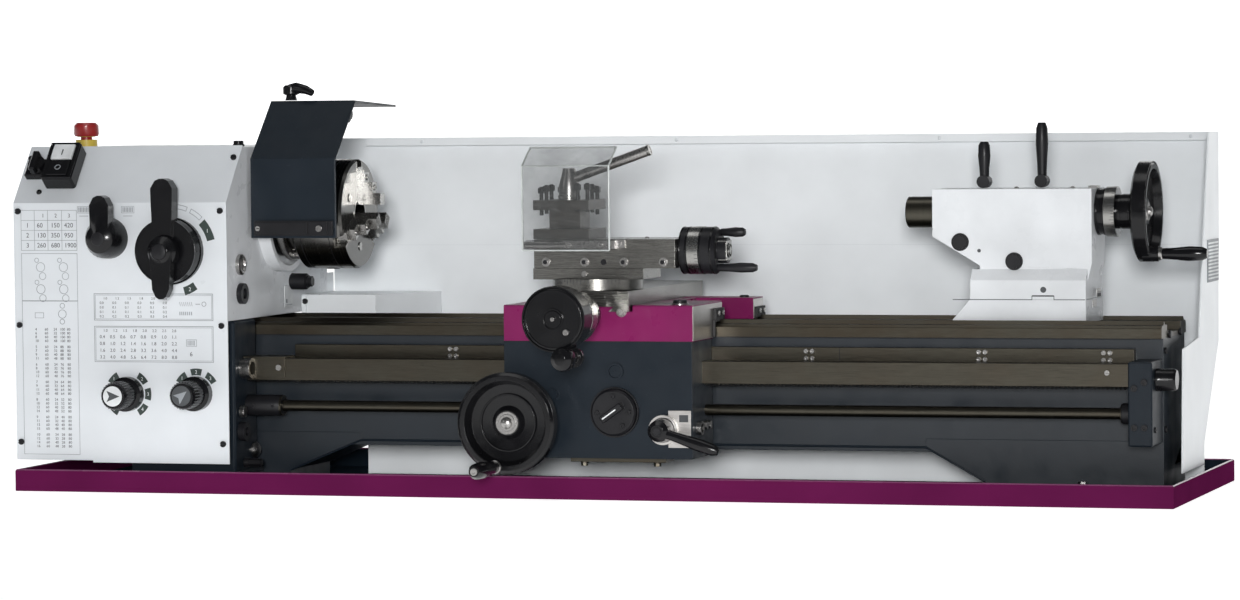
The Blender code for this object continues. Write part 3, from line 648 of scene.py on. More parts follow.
def table_rows(rows, columns, x0, x1, z0, z1, size, start=0.4):
    """Rows of small generic figures, evenly spaced in a frame."""
    shapes = []
    for r in range(rows):
        for c in range(columns):
            value = start * (1.0 + 0.25 * c) * 2**r
            text = f"{value:.1f}" if value < 10 else f"{value:.0f}"
            x = x0 + (x1 - x0) * (c + 0.2) / columns
            shapes.append(lettering(text, size, x, z1 - (z1 - z0) * (r + 0.8) / rows))
    return shapes


def panel_print():
    lines = []
    left, right = -846.0, -758.0
    for i in range(5):
        lines.append(print_box(left, right, 348 + 14.5 * i, 348.6 + 14.5 * i))
    for x in (left, -825, -804, -782, right - 0.6):
        lines.append(print_box(x, x + 0.6, 348, 406.6))
    lines += outline_box(left, right, 275, 344)
    lines += outline_box(left, right, 52, 275)
    for z in (330, 298):
        for x in (-822, -786):
            for dx, dz, r in ((0, 4, 3.5), (6, -6, 7), (9, -19, 5.5)):
                lines.append(print_ring(x + dx, z + dz, r))
    for dz, r in ((268, 4), (256, 6.5), (245, 4)):
        lines.append(print_ring(-788 + dz * 0.02, dz, r))
    for x0, x1, z0, z1 in ((-733, -548, 247, 286), (-733, -548, 187, 239)):
        lines += outline_box(x0, x1, z0, z1, 0.8)
        lines += outline_box(x0 + 2, x1 - 2, z0 + 2, z1 - 2, 0.5)
    for i in range(7):
        zig = [(-600 + 3 * i, 274), (-598.5 + 3 * i, 268), (-597.8 + 3 * i, 268), (-599.3 + 3 * i, 274)]
        lines.append(prism("y", zig, PANEL_Y - PRINT_OUT, PANEL_Y + PRINT_IN))
        lines.append(print_box(-600 + 3 * i, -598.6 + 3 * i, 255, 260))
    lines.append(print_box(-575, -568, 270.4, 271.4))
    lines.append(print_ring(-562, 271, 3.6, 20))
    for x in (-757, -688):
        lines += outline_box(x, x + 20, 402, 412)
        lines += [print_box(x + 2 + 2.4 * i, x + 3.4 + 2.4 * i, 403.5, 410.5) for i in range(7)]
        lines.append(print_box(x + 3, x + 17, 397.5, 398.3))
    lines += outline_box(-590, -574, 210, 220)
    lines += [print_box(-588 + 2 * i, -587 + 2 * i, 211.5, 218.5) for i in range(6)]
    lines += outline_box(-826, -812, 250, 258)
    piece("panel_lines", "frame", "ink_grey", lines, 0.02)

    figures = []
    speeds = ((1, 60, 150, 420), (2, 130, 350, 950), (3, 260, 680, 1900))
    for r, row in enumerate(speeds):
        for value, x in zip(row, (-838, -821, -799, -778)):
            figures.append(lettering(str(value), 9.5, x, 381.5 - 14.5 * r))
    for x, mark in ((-813, "1"), (-793, "2"), (-772, "3")):
        figures.append(lettering(mark, 8, x, 396))
    figures += table_rows(4, 6, -728, -610, 250, 276, 5.2, 0.02)
    figures += table_rows(1, 6, -722, -610, 276, 283, 5.0, 1.0)
    figures += table_rows(4, 8, -728, -600, 190, 229, 6.8)
    figures += table_rows(1, 8, -722, -600, 229, 237, 5.6, 1.0)
    figures.append(lettering("6", 9, -585, 196))
    for block_row in range(7):
        for row in range(4):
            z = 232 - 25.5 * block_row - 5.6 * row
            values = (4 + 2 * row + block_row, 60, 24 + 8 * row, 100 - 12 * block_row, 80)
            for value, x in zip(values, (-826, -811, -797, -787, -776)):
                figures.append(lettering(str(value), 5.4, x, z))
    piece("panel_figures", "frame", "ink", figures, 0.02)

    centre = SPEED_HUB
    cells = [shape for a in (55, 78, 101) for shape in cell_outline(centre, 60, 67, a - 9, a + 9)]
    piece("speed_cells", "frame", "ink_grey", cells, 0.02)
    dark = [sector(centre, 55, 67, 14, 42), sector(centre, 55, 67, -74, -56)]
    marks = []
    for side, angles in (("left", (135, 45, 0, -45, -135)), ("right", (135, 90, 45))):
        knob = KNOBS[side]
        for i, angle in enumerate(angles):
            dark.append(sector(knob, 26.5, 36, angle - 15, angle + 15))
            at = math.radians(angle)
            x = knob[0] + 31 * math.cos(at) - 1.8
            marks.append(lettering(str(i + 1), 7, x, knob[1] + 31 * math.sin(at) - 2.4, PANEL_Y - 0.12))
    for i, angle in enumerate((28, -65)):
        at = math.radians(angle)
        marks.append(lettering(str(i + 1), 8, -611 + 61 * math.cos(at), 345 + 61 * math.sin(at),
                               PANEL_Y - 0.12))
    piece("dial_cells", "frame", "ink_green", dark, 0.02)
    piece("dial_figures", "frame", "ink_white", marks, 0.02)


# ---------- headstock details ----------


def panel_screws():
    shapes = []
    for z in (405, 240, 70):
        for x in (-850, -535):
            shapes += slot_screw("y", -1, (x, PANEL_Y, z), 4.4, 3.2)
    for x in (-851, -534):
        shapes += [leaning(half, 82) for half in slot_screw("y", -1, (x, 0, 0), 4.4, 3.2)]
    piece("panel_screws", "frame", "black_metal", shapes, 0.2)


def controls():
    y = PANEL_Y
    for side, face, arrow in (("left", "ink_white", "ink"), ("right", "ink", "ink_grey")):
        x, z = KNOBS[side]
        front = y - 57.4
        body = f"feed_knob_{side}"
        disc = [rod("y", (x, 0, z), front - 0.7, front + 0.4, 14.5, 40)]
        piece(f"{body}_face", body, face, disc, 0.1)
        dart = [(11, 0), (-9, 8), (-5, 0), (-9, -8)]
        shape = prism("y", dart, front - 1.1, front - 0.5, (x, 0, z))
        if side == "right":
            shape = moved(shape, turn_about((x, 0, z), "Y", -38))
        piece(f"{body}_arrow", body, arrow, [shape], 0.1)
        grips = []
        for i in range(28):
            a = 2 * math.pi * i / 28
            cx, cz = x + 19.2 * math.cos(a), z + 19.2 * math.sin(a)
            grips.append(tube([(cx, front + 5, cz), (cx, front + 36, cz)], 1.0, 6))
        piece(f"{body}_ribs", body, "black", grips, 0.05)
    symbol = [slope_box(-789.8, -788.2, 66, 76, 29.2, 29.8)]
    piece("start_mark", "start_button", "ink", symbol, 0.05)
    mark = leaning(ring("y", (0, 0, 0), -0.7, 0, 4.6, 3.4, 24), 43, 29.2, SWITCH_X)
    piece("stop_mark", "stop_button", "ink_grey", [mark], 0.05)
    x = SWITCH_X
    rims = [slope_box(x + a, x + b, 29, 87, 26.6, 27.6) for a, b in ((-23, -20), (20, 23))]
    rims += [slope_box(x - 23, x + 23, a, b, 26.6, 27.6) for a, b in ((25.5, 28), (88, 90.5))]
    piece("switch_rims", "frame", "black", rims, 0.3)
    lamp = leaning(dome("y", -1, (0, 0, 0), 4.2, 4), 20, 0.0, -822)
    piece("panel_lamp", "frame", "black", [lamp], 0.1)
    skirt = [turned("z", (-795, -80, 0), [(511.2, 0), (511.2, 12.6), (512.2, 14), (512.9, 14),
                                          (512.9, 0)], 32)]
    piece("estop_skirt", "estop_button", "yellow", skirt, 0.2)
    cap = turned("z", (-563, -60, 495), [(0.4, 0), (0.4, 9), (3, 9), (4, 7.5), (8, 7.5), (8.8, 6.5),
                                         (8.8, 0)], 28)
    piece("oil_filler_cap", "frame", "black", [cap], 0.3)
    hub = dome("y", -1, (-708, y - 42.2, 366), 10, 1.6, 28)
    piece("direction_hub_cap", "direction_lever", "black_metal", [hub], 0.1)
    hub = dome("y", -1, (-607, -261.4, 348), 11, 2.4, 28)
    piece("range_hub_cap", "range_lever", "black_metal", [hub], 0.1)
    hub = (SPEED_HUB[0], 0, SPEED_HUB[1])
    collar = [ring("y", hub, -236, -233, 46.2, 43.6, 56), ring("y", hub, -216.5, -214.5, 48.9, 47.2, 56)]
    piece("speed_disc_rims", "speed_lever", "black", collar, 0.3)


def headstock_side():
    x = HEAD_RIGHT + 1.0
    face = HEAD_RIGHT
    glass = turned("x", (face, -155, 326), [(0, 0), (0, 15), (5, 15), (7, 12), (7, 9), (4, 8), (4, 0)],
                   32)
    bolt_ring = ring("x", (face, -149, 176), 0.2, 16, 15, 9.5, 32)
    small = rod("x", (face, -159, 114), 0.2, 9, 8.5, 28, 1.2)
    ball = turned("x", (face, -107, 55), [(0, 0), (0, 12), (3, 12), (6, 10), (9, 6), (10, 0)], 28)
    bright = [glass, bolt_ring, small, ball]
    piece("headstock_bright_plugs", "frame", "steel", bright, 0.3)
    dark = [ring("x", (face, -153, 284), 0.2, 8, 15, 8, 32)]
    dark += plug("x", 1, (face, -153, 284), 8.6, 5)
    dark += [ring("x", (face, -157, 85), 0.2, 10, 14, 7, 32), rod("x", (face, -157, 85), 0.2, 5, 7.2, 28)]
    dark += hex_bolt("x", 1, (face, -143, 39), 6, 26)
    dark += [rod("x", (face, 11, 295), 16, 42, 12, 28, 1.5)]
    dark += hex_bolt("x", 1, (face + 42, 11, 295), 8, 8)
    piece("headstock_dark_plugs", "frame", "black_metal", dark, 0.3)
    frame_edge = [block(face + 0.2, face + 5, -178, -72, 24, 29),
                  block(face + 0.2, face + 5, -77, -72, 24, 110)]
    piece("gearbox_rim", "frame", "body", frame_edge, 1.0)
    plate = [block(x, x + 1.0, 20, 52, 256, 288)]
    piece("blank_plate", "frame", "ink_white", plate, 0.2)
    ticks = [block(x + 0.9, x + 1.3, 22, 50, 259, 260)]
    ticks += [block(x + 0.9, x + 1.3, 24, 30, 262, 268)]
    piece("blank_plate_lines", "frame", "ink_grey", ticks, 0.05)


def spindle_nose():
    """The camlock flange with its studs."""
    back = [turned("x", HEAD_AXIS, [(-507, 19.5), (-507, 66), (-505, 68), (-497, 68), (-495.4, 66),
                                    (-495.4, 58.4),
                                         (-499.6, 58.4), (-500.4, 19.5)], 64, closed=True)]
    piece("spindle_flange", "spindle", "steel", back, 0.6)
    studs = []
    for i in range(6):
        a = math.radians(60 * i + 15)
        at = (-495.3, 62.5 * math.cos(a), AXIS_Z + 62.5 * math.sin(a))
        studs += hex_bolt("x", 1, at, 5.4, 9)
        studs.append(rod("x", at, 8, 15.5, 3.4, 14, 0.6))
    piece("chuck_studs", "spindle", "steel", studs, 0.3)


def chuck_details():
    rings = []
    for x, r in ((CHUCK_BACK + 14, CHUCK_R + 0.15), (CHUCK_FACE - 22, CHUCK_R + 0.15)):
        rings.append(ring("x", (x, 0, AXIS_Z), -0.5, 0.5, r, CHUCK_R - 1, 96))
    piece("chuck_grooves", "spindle", "black_metal", rings, 0.1)
    keys = []
    for n in range(3):
        spin = turn_about(HEAD_AXIS, "X", 120 * n + 60)
        socket = turned("z", (-440, 0, AXIS_Z + CHUCK_R - 1),
                        [(0, 0), (0, 10), (1.5, 10), (1.8, 9.4), (1.8, 6.6), (0.3, 6.4), (0.3, 0)], 28)
        keys.append(moved(socket, spin))
        keys.append(moved(prism("z", circle(5.2, 4, 0.785), AXIS_Z + CHUCK_R - 0.8,
                                AXIS_Z + CHUCK_R + 0.15, (-440, 0, 0)), spin))
    piece("chuck_key_sockets", "spindle", "black_metal", keys, 0.3)
    rims = [ring("x", (CHUCK_FACE, 0, AXIS_Z), -0.4, 0.5, 24.0, 21.2, 64)]
    for n in range(3):
        spin = turn_about(HEAD_AXIS, "X", 120 * n + 60)
        rims += [moved(s, spin) for s in slot_screw("x", 1, (CHUCK_FACE, 0, AXIS_Z + 48), 6.2, 1.4)]
        for side in (-1, 1):
            edge = block(CHUCK_FACE - 0.2, CHUCK_FACE + 0.35, side * 10.4 - 0.6, side * 10.4 + 0.6,
                         AXIS_Z + 22, AXIS_Z + 75)
            rims.append(moved(edge, turn_about(HEAD_AXIS, "X", 120 * n)))
    piece("chuck_face_details", "spindle", "jaw", rims, 0.15)
    for n in range(3):
        spin = turn_about(HEAD_AXIS, "X", 120 * n)
        teeth = []
        for i in range(5):
            z = AXIS_Z + 16 + 2.6 * i
            teeth.append(block(CHUCK_FACE + 35.6, CHUCK_FACE + 36.4, -8.6, 8.6, z, z + 1.1))
        for side in (-1, 1):
            teeth += [block(CHUCK_FACE + 3, CHUCK_FACE + 4.5, side * 9 - 0.35, side * 9 + 0.35,
                            AXIS_Z + 15, AXIS_Z + 64)]
        for z, reach in ((38, 25), (53, 13)):
            teeth.append(socket_screw("x", 1, (CHUCK_FACE + reach - 1.4, 0, AXIS_Z + z), 4.4, 2.2))
        piece(f"jaw_{n + 1}_serrations", f"jaw_{n + 1}", "jaw", [moved(t, spin) for t in teeth], 0.1)


def guard_details():
    x0, x1, y = -520.0, -391.0, -123.0
    strip = [block(x0 + 6, x1 - 2, y - 4.5, y - 0.2, 366.5, 388)]
    strip += [block(x0 + 10, x1 - 40, y - 6, y - 4.3, 369, 385.5),
              block(x1 - 36, x1 - 10, y - 6, y - 4.3, 368, 386.5)]
    piece("guard_strip", "guard", "black_metal", strip, 0.5)
    screws = slot_screw("y", -1, (x1 - 22, y - 6, 377), 4.6, 3)
    screws += slot_screw("y", -1, (x0 + 12, y - 4.4, 377), 3.6, 2.5)
    piece("guard_strip_screws", "guard", "steel", screws, 0.2)
    hem = [tube([(x1 + 0.6, -121.5, 364), (x1 + 0.6, -121.5, 477.5), (x1 + 0.6, -36.5, 559.2)], 1.7, 8)]
    piece("guard_hem", "guard", "body", hem, 0.1)
    lever = tube([(-492, -28, 577), (-482, -32, 580), (-466, -36, 577), (-455, -38, 572)], [9, 8, 6.5, 5],
                 16)
    piece("guard_knob_handle", "guard", "black", [lever], 0.4)
    rivets = [dome("x", -1, (-520.1, -20, z), 3.4, 1.8) for z in (490, 530)]
    rivets += slot_screw("z", 1, (-455, 60, 560 - 0.0444 * 97), 4.5, 3)
    piece("guard_rivets", "guard", "black_metal", rivets, 0.2)
    bolts = []
    for x in (-556, -540):
        bolts.append(socket_screw("y", -1, (x, 124.1, 530), 5, 5))
    piece("bracket_bolts", "frame", "black_metal", bolts, 0.3)


def rear_box_details():
    shapes = [block(-526.2, -519, 91.5, 94.2, 212, 271)]
    screws = slot_screw("y", -1, (-520, 91.5, 262), 4.2, 3)
    screws += slot_screw("y", -1, (-440, 94, 222), 3.4, 2.4)
    shapes.append(block(-529.5, -527.6, HEAD_BACK + 0.5, 233, 246.5, 300))
    piece("rear_box_flange", "frame", "splash", shapes, 0.3)
    piece("rear_box_screws", "frame", "black_metal", screws, 0.2)


# ---------- bed, screws and tray ----------


def helix(axis_y, axis_z, x0, x1, pitch, root, crest, sides=14):
    """A raised thread that winds round a bar along X."""
    verts, faces = [], []
    steps = int((x1 - x0) / pitch * sides)
    for i in range(steps + 1):
        turn = 2 * math.pi * i / sides
        x = x0 + pitch * i / sides
        for along, radius in ((-0.36, root), (-0.16, crest), (0.16, crest), (0.36, root)):
            verts.append((x + along * pitch, axis_y + radius * math.cos(turn),
                          axis_z + radius * math.sin(turn)))
    for i in range(steps):
        a, b = 4 * i, 4 * i + 4
        faces += [[a + k, a + (k + 1) % 4, b + (k + 1) % 4, b + k] for k in range(4)]
    faces += [[0, 1, 2, 3], [4 * steps + k for k in range(4)]]
    return verts, faces


def screws_and_rack():
    thread = helix(SCREW_Y, SCREW_Z, -455, 765, 6.0, 12.8, 14.4)
    piece("leadscrew_thread", "leadscrew", "steel", [thread], 0.05, 60)
    cap = turned("x", (0, SCREW_Y, SCREW_Z), [(805.3, 9.6), (805.3, 15.9), (812, 15.9), (813, 15.4),
                                              (830, 15.4),
                                              (833.6, 13.4), (833.6, 0), (805.6, 0)], 40)
    piece("leadscrew_cap", "leadscrew", "black", [cap], 0.2)
    teeth = []
    for i in range(240):
        x = -464 + 5.1 * i
        tooth = [(x, 186.2), (x + 1.2, 183.4), (x + 2.4, 183.4), (x + 3.6, 186.2)]
        teeth.append(prism("y", tooth, -93.6, -81))
    piece("rack_teeth", "frame", "dark_ground", teeth, 0.1)
    screws = []
    for x in (-223, 42, 306, 554, 730):
        for dx in (-4.5, 4.5):
            for z in (202.5, 192.5):
                screws.append(socket_screw("y", -1, (x + dx, -94, z), 3.4, 2.6))
    piece("rack_screws", "frame", "steel", screws, 0.15)
    joint = [block(x - 0.5, x + 0.5, -94.3, -93.8, 186, 208) for x in (-58, 350)]
    piece("rack_joints", "frame", "black_metal", joint, 0.05)
    sleeve = [turned("x", (0, SCREW_Y, FEED_Z),
                     [(-526.4, 8), (-526.4, 15.4), (-476, 15.4), (-472, 13.5), (-472, 8)], 40,
                     closed=True)]
    sleeve.append(turned("x", (0, SCREW_Y, FEED_Z),
                         [(756.6, 7), (756.6, 13), (759, 14.6), (768.6, 14.6), (768.6, 7)], 40,
                         closed=True))
    sleeve += [rod("y", (x, SCREW_Y, FEED_Z), -16.4, -14, 2.6, 14) for x in (-514, -484)]
    piece("feed_rod_collars", "feed_rod", "black_metal", sleeve, 0.3)
    key = [block(-471, 756, SCREW_Y - 1.6, SCREW_Y + 1.6, FEED_Z + 7.4, FEED_Z + 8.15)]
    piece("feed_rod_keyway", "feed_rod", "black_metal", key, 0.1)
    screws = slot_screw("y", -1, (-471, -146.5, 177), 4.2, 2.8)
    screws += slot_screw("y", -1, (740, -143.5, 178), 3.6, 2.2)
    piece("cover_screws", "frame", "steel", screws, 0.15)
    bolts = [socket_screw("y", -1, (x, -158, z), 4.6, 2.6) for x,
             z in ((780, 158), (794, 166), (780, 104), (794, 104))]
    bolts.append(socket_screw("x", 1, (805, -140, 100), 4.0, 2.4))
    piece("bracket_screws", "frame", "black_metal", bolts, 0.2)


def bed_details():
    lugs = [block(683, 706, -97, -80.9, 5, 17), block(-640, -612, 80.9, 97, 5, 17),
            block(683, 706, 80.9, 97, 5, 17)]
    piece("bed_lugs", "frame", "body", lugs, 1.0)
    bolts = [s for x, y in ((694, -89), (-626, 89), (694, 89))
             for s in hex_bolt("z", 1, (x, y, 17), 6.5, 7)]
    piece("bed_bolts", "frame", "steel", bolts, 0.3)
    end = [rod("x", (806, -70, z), 0.1, 3.4, 4.6, 18, 0.6) for z in (205, 96)]
    end += [rod("x", (806, y, 226), 0.1, 4, 5.5, 20, 0.8) for y in (-40, 40)]
    piece("bed_end_screws", "frame", "black_metal", end, 0.2)
    rim = [tube([(555, -80.9, 8), (555, -80.9, 21), (470, -80.9, 68), (-370, -80.9, 69),
                 (-480, -80.9, 24)], 1.7, 8)]
    piece("bed_arch_rim", "frame", "body", rim, 0.2)
    lines = [block(-527, 790, -92.25, -91.8, 221.4, 222.3)]
    piece("way_scribe", "frame", "black_metal", lines, 0.05)


def tray_details():
    lip = [
        tube([(-849, -226, 30.2), (845, -226, 30.2)], 1.5, 8),
           tube([(845, -226, 30.2), (845, 246, 30.2)], 1.5, 8),
        tube([(845, 246, 30.2), (-849, 246, 30.2)], 1.5, 8),
           tube([(-849, 246, 30.2), (-849, -226, 30.2)], 1.5, 8),
    ]
    piece("tray_lip", "frame", "tray_lip", lip, 0.2)


# ---------- carriage ----------


def dial(name, body, axis, centre, low, high, radius, ticks):
    """A bright graduated collar with dark division marks."""
    collar = [turned(axis, centre, [(low, radius - 3), (low, radius - 0.4), (low + 0.4, radius),
                                    (high - 0.4, radius),
                                    (high, radius - 0.4), (high, radius - 3)], 72, closed=True)]
    piece(f"{name}_collar", body, "dial", collar, 0.15)
    marks = []
    for i in range(ticks):
        angle = 360.0 * i / ticks
        length = (high - low) * (0.62 if i % 10 == 0 else 0.45 if i % 5 == 0 else 0.3)
        radial = radius + 0.1
        if axis == "x":
            mark = block(high - length, high - 0.3, -0.35, 0.35, radial - 0.4, radial)
        else:
            mark = block(-0.35, 0.35, low + 0.3, low + length, radial - 0.4, radial)
        shape = moved(mark, Matrix.Rotation(math.radians(angle), 4, axis.upper()))
        marks.append(([(a + centre[0], b + centre[1], c + centre[2]) for a, b, c in shape[0]], shape[1]))
    piece(f"{name}_marks", body, "ink", marks, 0.03)


def handwheels():
    x, z = CARRIAGE_WHEEL
    hub = turned("y", (x, 0, z), [(-247.8, 0), (-247.8, 17), (-249.4, 16), (-249.4, 12.4), (-250.6, 12),
                                  (-250.6, 8.5),
                                  (-254.5, 7.5), (-256.5, 4.6), (-257.0, 0)], 48)
    piece("carriage_wheel_hub", "carriage_handwheel", "steel", [hub], 0.2)
    dish = [ring("y", (x, 0, z), -258.5, -257.5, 66.5, 60.5, 88),
            ring("y", (x, 0, z), -245.4, -243.6, 41, 38.6, 72)]
    dish += [ring("y", (x, 0, z), -254.6, -239, 71.35, 70.0, 96)]
    piece("carriage_wheel_rims", "carriage_handwheel", "black", dish, 0.5)
    stem = turned("y", (x - 15, 0, z - 61), [(-258.8, 0), (-258.8, 9.5), (-262, 9.5), (-263.5, 8),
                                             (-263.5, 0)], 28)
    end = turned("y", (x - 15, 0, z - 61), [(-350, 0), (-350, 5.4), (-351.6, 5), (-351.6, 2.4),
                                            (-350.8, 2), (-350.8, 0)], 24)
    piece("carriage_grip_ends", "carriage_grip", "steel", [stem, end], 0.2)
    piece("apron_wheel_seat", "carriage", "body", [ring("y", (x, 0, z), -199, -195.1, 23, 15.6, 48)], 0.5)
    x, z = CROSS_X, CROSS_SCREW_Z
    face = [ring("y", (x, 0, z), -351.4, -349.8, 40.5, 38.5, 72),
            ring("y", (x, 0, z), -352, -349.8, 15, 13.6, 48)]
    face.append(turned("y", (x, 0, z), [(-349.8, 0), (-349.8, 12.5), (-351.2, 11.5), (-351.2, 0)], 40))
    face.append(ring("y", (x, 0, z), -349.2, -316.5, 45.35, 43, 88))
    piece("cross_wheel_face", "cross_handwheel", "black", face, 0.4)
    piece("cross_wheel_pin", "cross_handwheel", "steel",
          [rod("y", (x, 0, z), -354, -351, 3, 18, 0.5),
           rod("y", (x + 19, 0, z - 18), -353.4, -349.8, 4.4, 20, 0.6)], 0.2)
    dial("cross_dial", "cross_handwheel", "y", (x, 0, z), -288.6, -264.6, 38.5, 60)
    piece("cross_grip_stem", "cross_grip", "steel",
          [turned("y", (x + 19, 0, z - 54), [(-318.6, 0), (-318.6, 8.6), (-323, 8.6), (-325, 7.6),
                                             (-325, 0)], 24)], 0.2)


def apron_details():
    y = APRON_Y
    x, z = SELECTOR
    screws = []
    for angle in (90, 2, 182, -52):
        a = math.radians(angle)
        screws.append(socket_screw("y", -1, (x + 23 * math.cos(a), y - 11.3, z + 23 * math.sin(a)), 3.6,
                                   2.4))
    piece("selector_screws", "feed_selector", "black_metal", screws, 0.15)
    mark = moved(block(x - 15, x + 9, -217.9, -217.2, z - 0.9, z + 0.9), turn_about((x, 0, z), "Y", -35))
    piece("selector_mark", "feed_selector", "ink_white", [mark], 0.05)
    piece("selector_seat", "carriage", "black_metal",
          [ring("y", (x, 0, z), -199.5, -195.1, 35.5, 33.4, 64)], 0.4)
    glass = [ring("y", (52, 0, 178), -197.5, -195.1, 12, 9, 40)]
    glass += plug("y", -1, (-40, y, 145), 9.5, 3)
    glass += [rod("y", (52 + dx, 0, 178), -196.2, -195.1, 1.2, 10) for dx in (-3.5, 0, 3.5)]
    glass.append(rod("y", (52, 0, 178), -195.9, -195.05, 8.6, 32))
    piece("apron_sight_glass", "carriage", "body", glass, 0.3)
    plate = [block(129, 162, -196.8, -195.1, 72, 124),
             ring("y", HALF_NUT_HUB, -203, -195.1, 21, 17.4, 48)]
    piece("half_nut_plate", "carriage", "side_steel", plate, 0.3)
    marks = [block(145, 158, -197.2, -196.6, 108, 118), block(147, 156, -197.2, -196.6, 78, 80)]
    piece("half_nut_marks", "carriage", "ink", marks, 0.05)
    hub = [turned("y", HALF_NUT_HUB, [(-231.8, 0), (-231.8, 6), (-233, 5.4), (-233, 0)], 24)]
    piece("half_nut_cap", "half_nut_lever", "black_metal", hub, 0.1)
    shelf = [block(-16, 124, -192, -150, 50.6, 55.8)]
    bolts = [s for bx in (2, 109) for s in hex_bolt("z", -1, (bx, -184, 50.6), 5, 6)]
    piece("apron_foot_plate", "carriage", "dark_ground", shelf + bolts, 0.3)
    side = [block(162.8, 163.6, -194, -95, 57, 219)]
    piece("apron_side", "carriage", "side_dark", side, 0.2)
    worm = [ring("x", (163.4, -168, 98), 0.2, 7, 10, 6.6, 32)]
    worm += hex_bolt("x", 1, (163.4, -142, 100), 6, 7)
    worm += hex_bolt("x", 1, (163.4, -124, 100), 6, 7)
    piece("apron_side_bolts", "carriage", "steel", worm, 0.3)


def saddle_details():
    side = prism("x", [(-194, 221), (-194, 269), (-47, 269), (-47, 242), (-93, 236), (-93, 221)], 164.9,
                 165.7)
    rear = prism("x", [(47, 242), (47, 269), (97, 269), (97, 227)], 185.9, 186.6)
    piece("saddle_sides", "carriage", "side_steel", [side, rear], 0.2)
    cap = turned("z", (140, -170, 0), [(270.8, 0), (270.8, 12.5), (272.6, 12.5), (273.4, 11.4),
                                       (273.4, 0)], 36)
    piece("oil_cap_rim", "carriage", "steel", [cap], 0.2)
    lid = turned("z", (140, -170, 0), [(273.3, 0), (273.3, 10), (276.4, 10), (277.6, 8.8), (277.6, 0)],
                 36)
    lid2 = turned("z", (166, 70, 0), [(270.8, 0), (270.8, 7), (273, 7), (274, 5.5), (274, 0)], 28)
    piece("oil_caps", "carriage", "black_metal", [lid, lid2], 0.2)
    bolt = hex_bolt("y", -1, (62, -195, 262), 6.6, 8) + [rod("y", (62, -195, 262), -13, -7, 4.4, 18, 0.8)]
    piece("slide_lock_bolt", "carriage", "steel", bolt, 0.3)
    wiper = [block(165.9, 171, -94, -52, 243, 262), block(165.9, 170, -97.4, -93, 222, 246),
             block(186.8, 191, 50, 95, 243, 258)]
    piece("way_wipers", "carriage", "rubber", wiper, 0.6)
    screws = slot_screw("x", 1, (171, -84, 255), 3.4, 2.2) + slot_screw("x", 1, (171, -62, 255), 3.4, 2.2)
    screws += slot_screw("x", 1, (191, 62, 252), 3.4, 2.2) + slot_screw("x", 1, (191, 84, 252), 3.4, 2.2)
    piece("wiper_screws", "carriage", "steel", screws, 0.15)
    seam = [block(-111.8, 164.6, -195.3, -194.8, 219.2, 220.4)]
    piece("apron_seam", "carriage", "black_metal", seam, 0.05)
    nose = [ring("y", (CROSS_X, 0, CROSS_SCREW_Z), -228.2, -227.3, 23, 21.2, 48)]
    piece("cross_screw_nose", "carriage", "black", nose, 0.5)


# ---------- compound slide and tool post ----------


def compound_details():
    y = TOP_Y - 45
    nuts, pins = [], []
    for x in (-51, 6, 63.5, 121):
        nuts += hex_bolt("y", -1, (x, y, 331), 5.6, 3.6)
        pins.append(rod("y", (x, y, 331), -7, -3, 3.0, 16, 0.5))
    nuts += hex_bolt("y", -1, (4.6, TOP_Y - 43, 314), 3.8, 3.4)
    piece("gib_nuts", "top_slide", "steel", nuts[:-2], 0.2)
    piece("gib_pins", "top_slide", "black_metal", pins + [rod("y", (34, y, 331), -1.6, 0, 4.2, 20)], 0.1)
    piece("swivel_lock", "swivel_base", "steel", nuts[-2:], 0.2)
    piece("top_slide_oiler", "top_slide", "steel", [dome("z", 1, (84, TOP_Y, 363), 3.6, 2.4)], 0.1)
    plate = [socket_screw("y", -1, (x, -201, 355.5), 3.8, 2.2) for x in (-12, 34)]
    piece("hinge_screws", "top_slide", "steel", plate, 0.15)
    lug = [block(49, 66, TOP_Y - 48.5, TOP_Y - 45.2, 351, 362)]
    lug.append(socket_screw("y", -1, (58, TOP_Y - 48.5, 356.5), 3.4, 2))
    piece("hinge_lug", "top_slide", "steel", lug, 0.3)
    marks = []
    for i in range(-9, 10):
        a = math.radians(5.0 * i)
        mark = block(-0.3, 0.3, -64.3, -63.8, 303 - (3 if i % 2 else 0), 307)
        spin = Matrix.Translation((CROSS_X, TOP_Y, 0)) @ Matrix.Rotation(a, 4, "Z")
        marks.append(moved(mark, spin))
    piece("swivel_marks", "swivel_base", "ink", marks, 0.03)
    axis = (0, TOP_Y, TOP_Z)
    dial("top_dial", "top_slide_handwheel", "x", axis, 150.2, 166.8, 33.4, 40)
    hub = [block(190.2, 204, TOP_Y - 13, TOP_Y + 13, TOP_Z - 14, TOP_Z + 14)]
    hub.append(ring("x", axis, 203.8, 205.4, 10.5, 8.6, 36))
    hub.append(turned("x", axis, [(203.8, 0), (203.8, 6.8), (206, 5.6), (206, 0)], 28))
    piece("top_wheel_hub", "top_slide_handwheel", "dial", hub, 1.2)
    rims = [ring("x", axis, a, b, 33.5, 31.5, 64) for a,
            b in ((138.6, 141), (147.4, 149.8), (167.4, 170), (182.6, 185.4))]
    piece("top_wheel_rims", "top_slide_handwheel", "black", rims, 0.4)


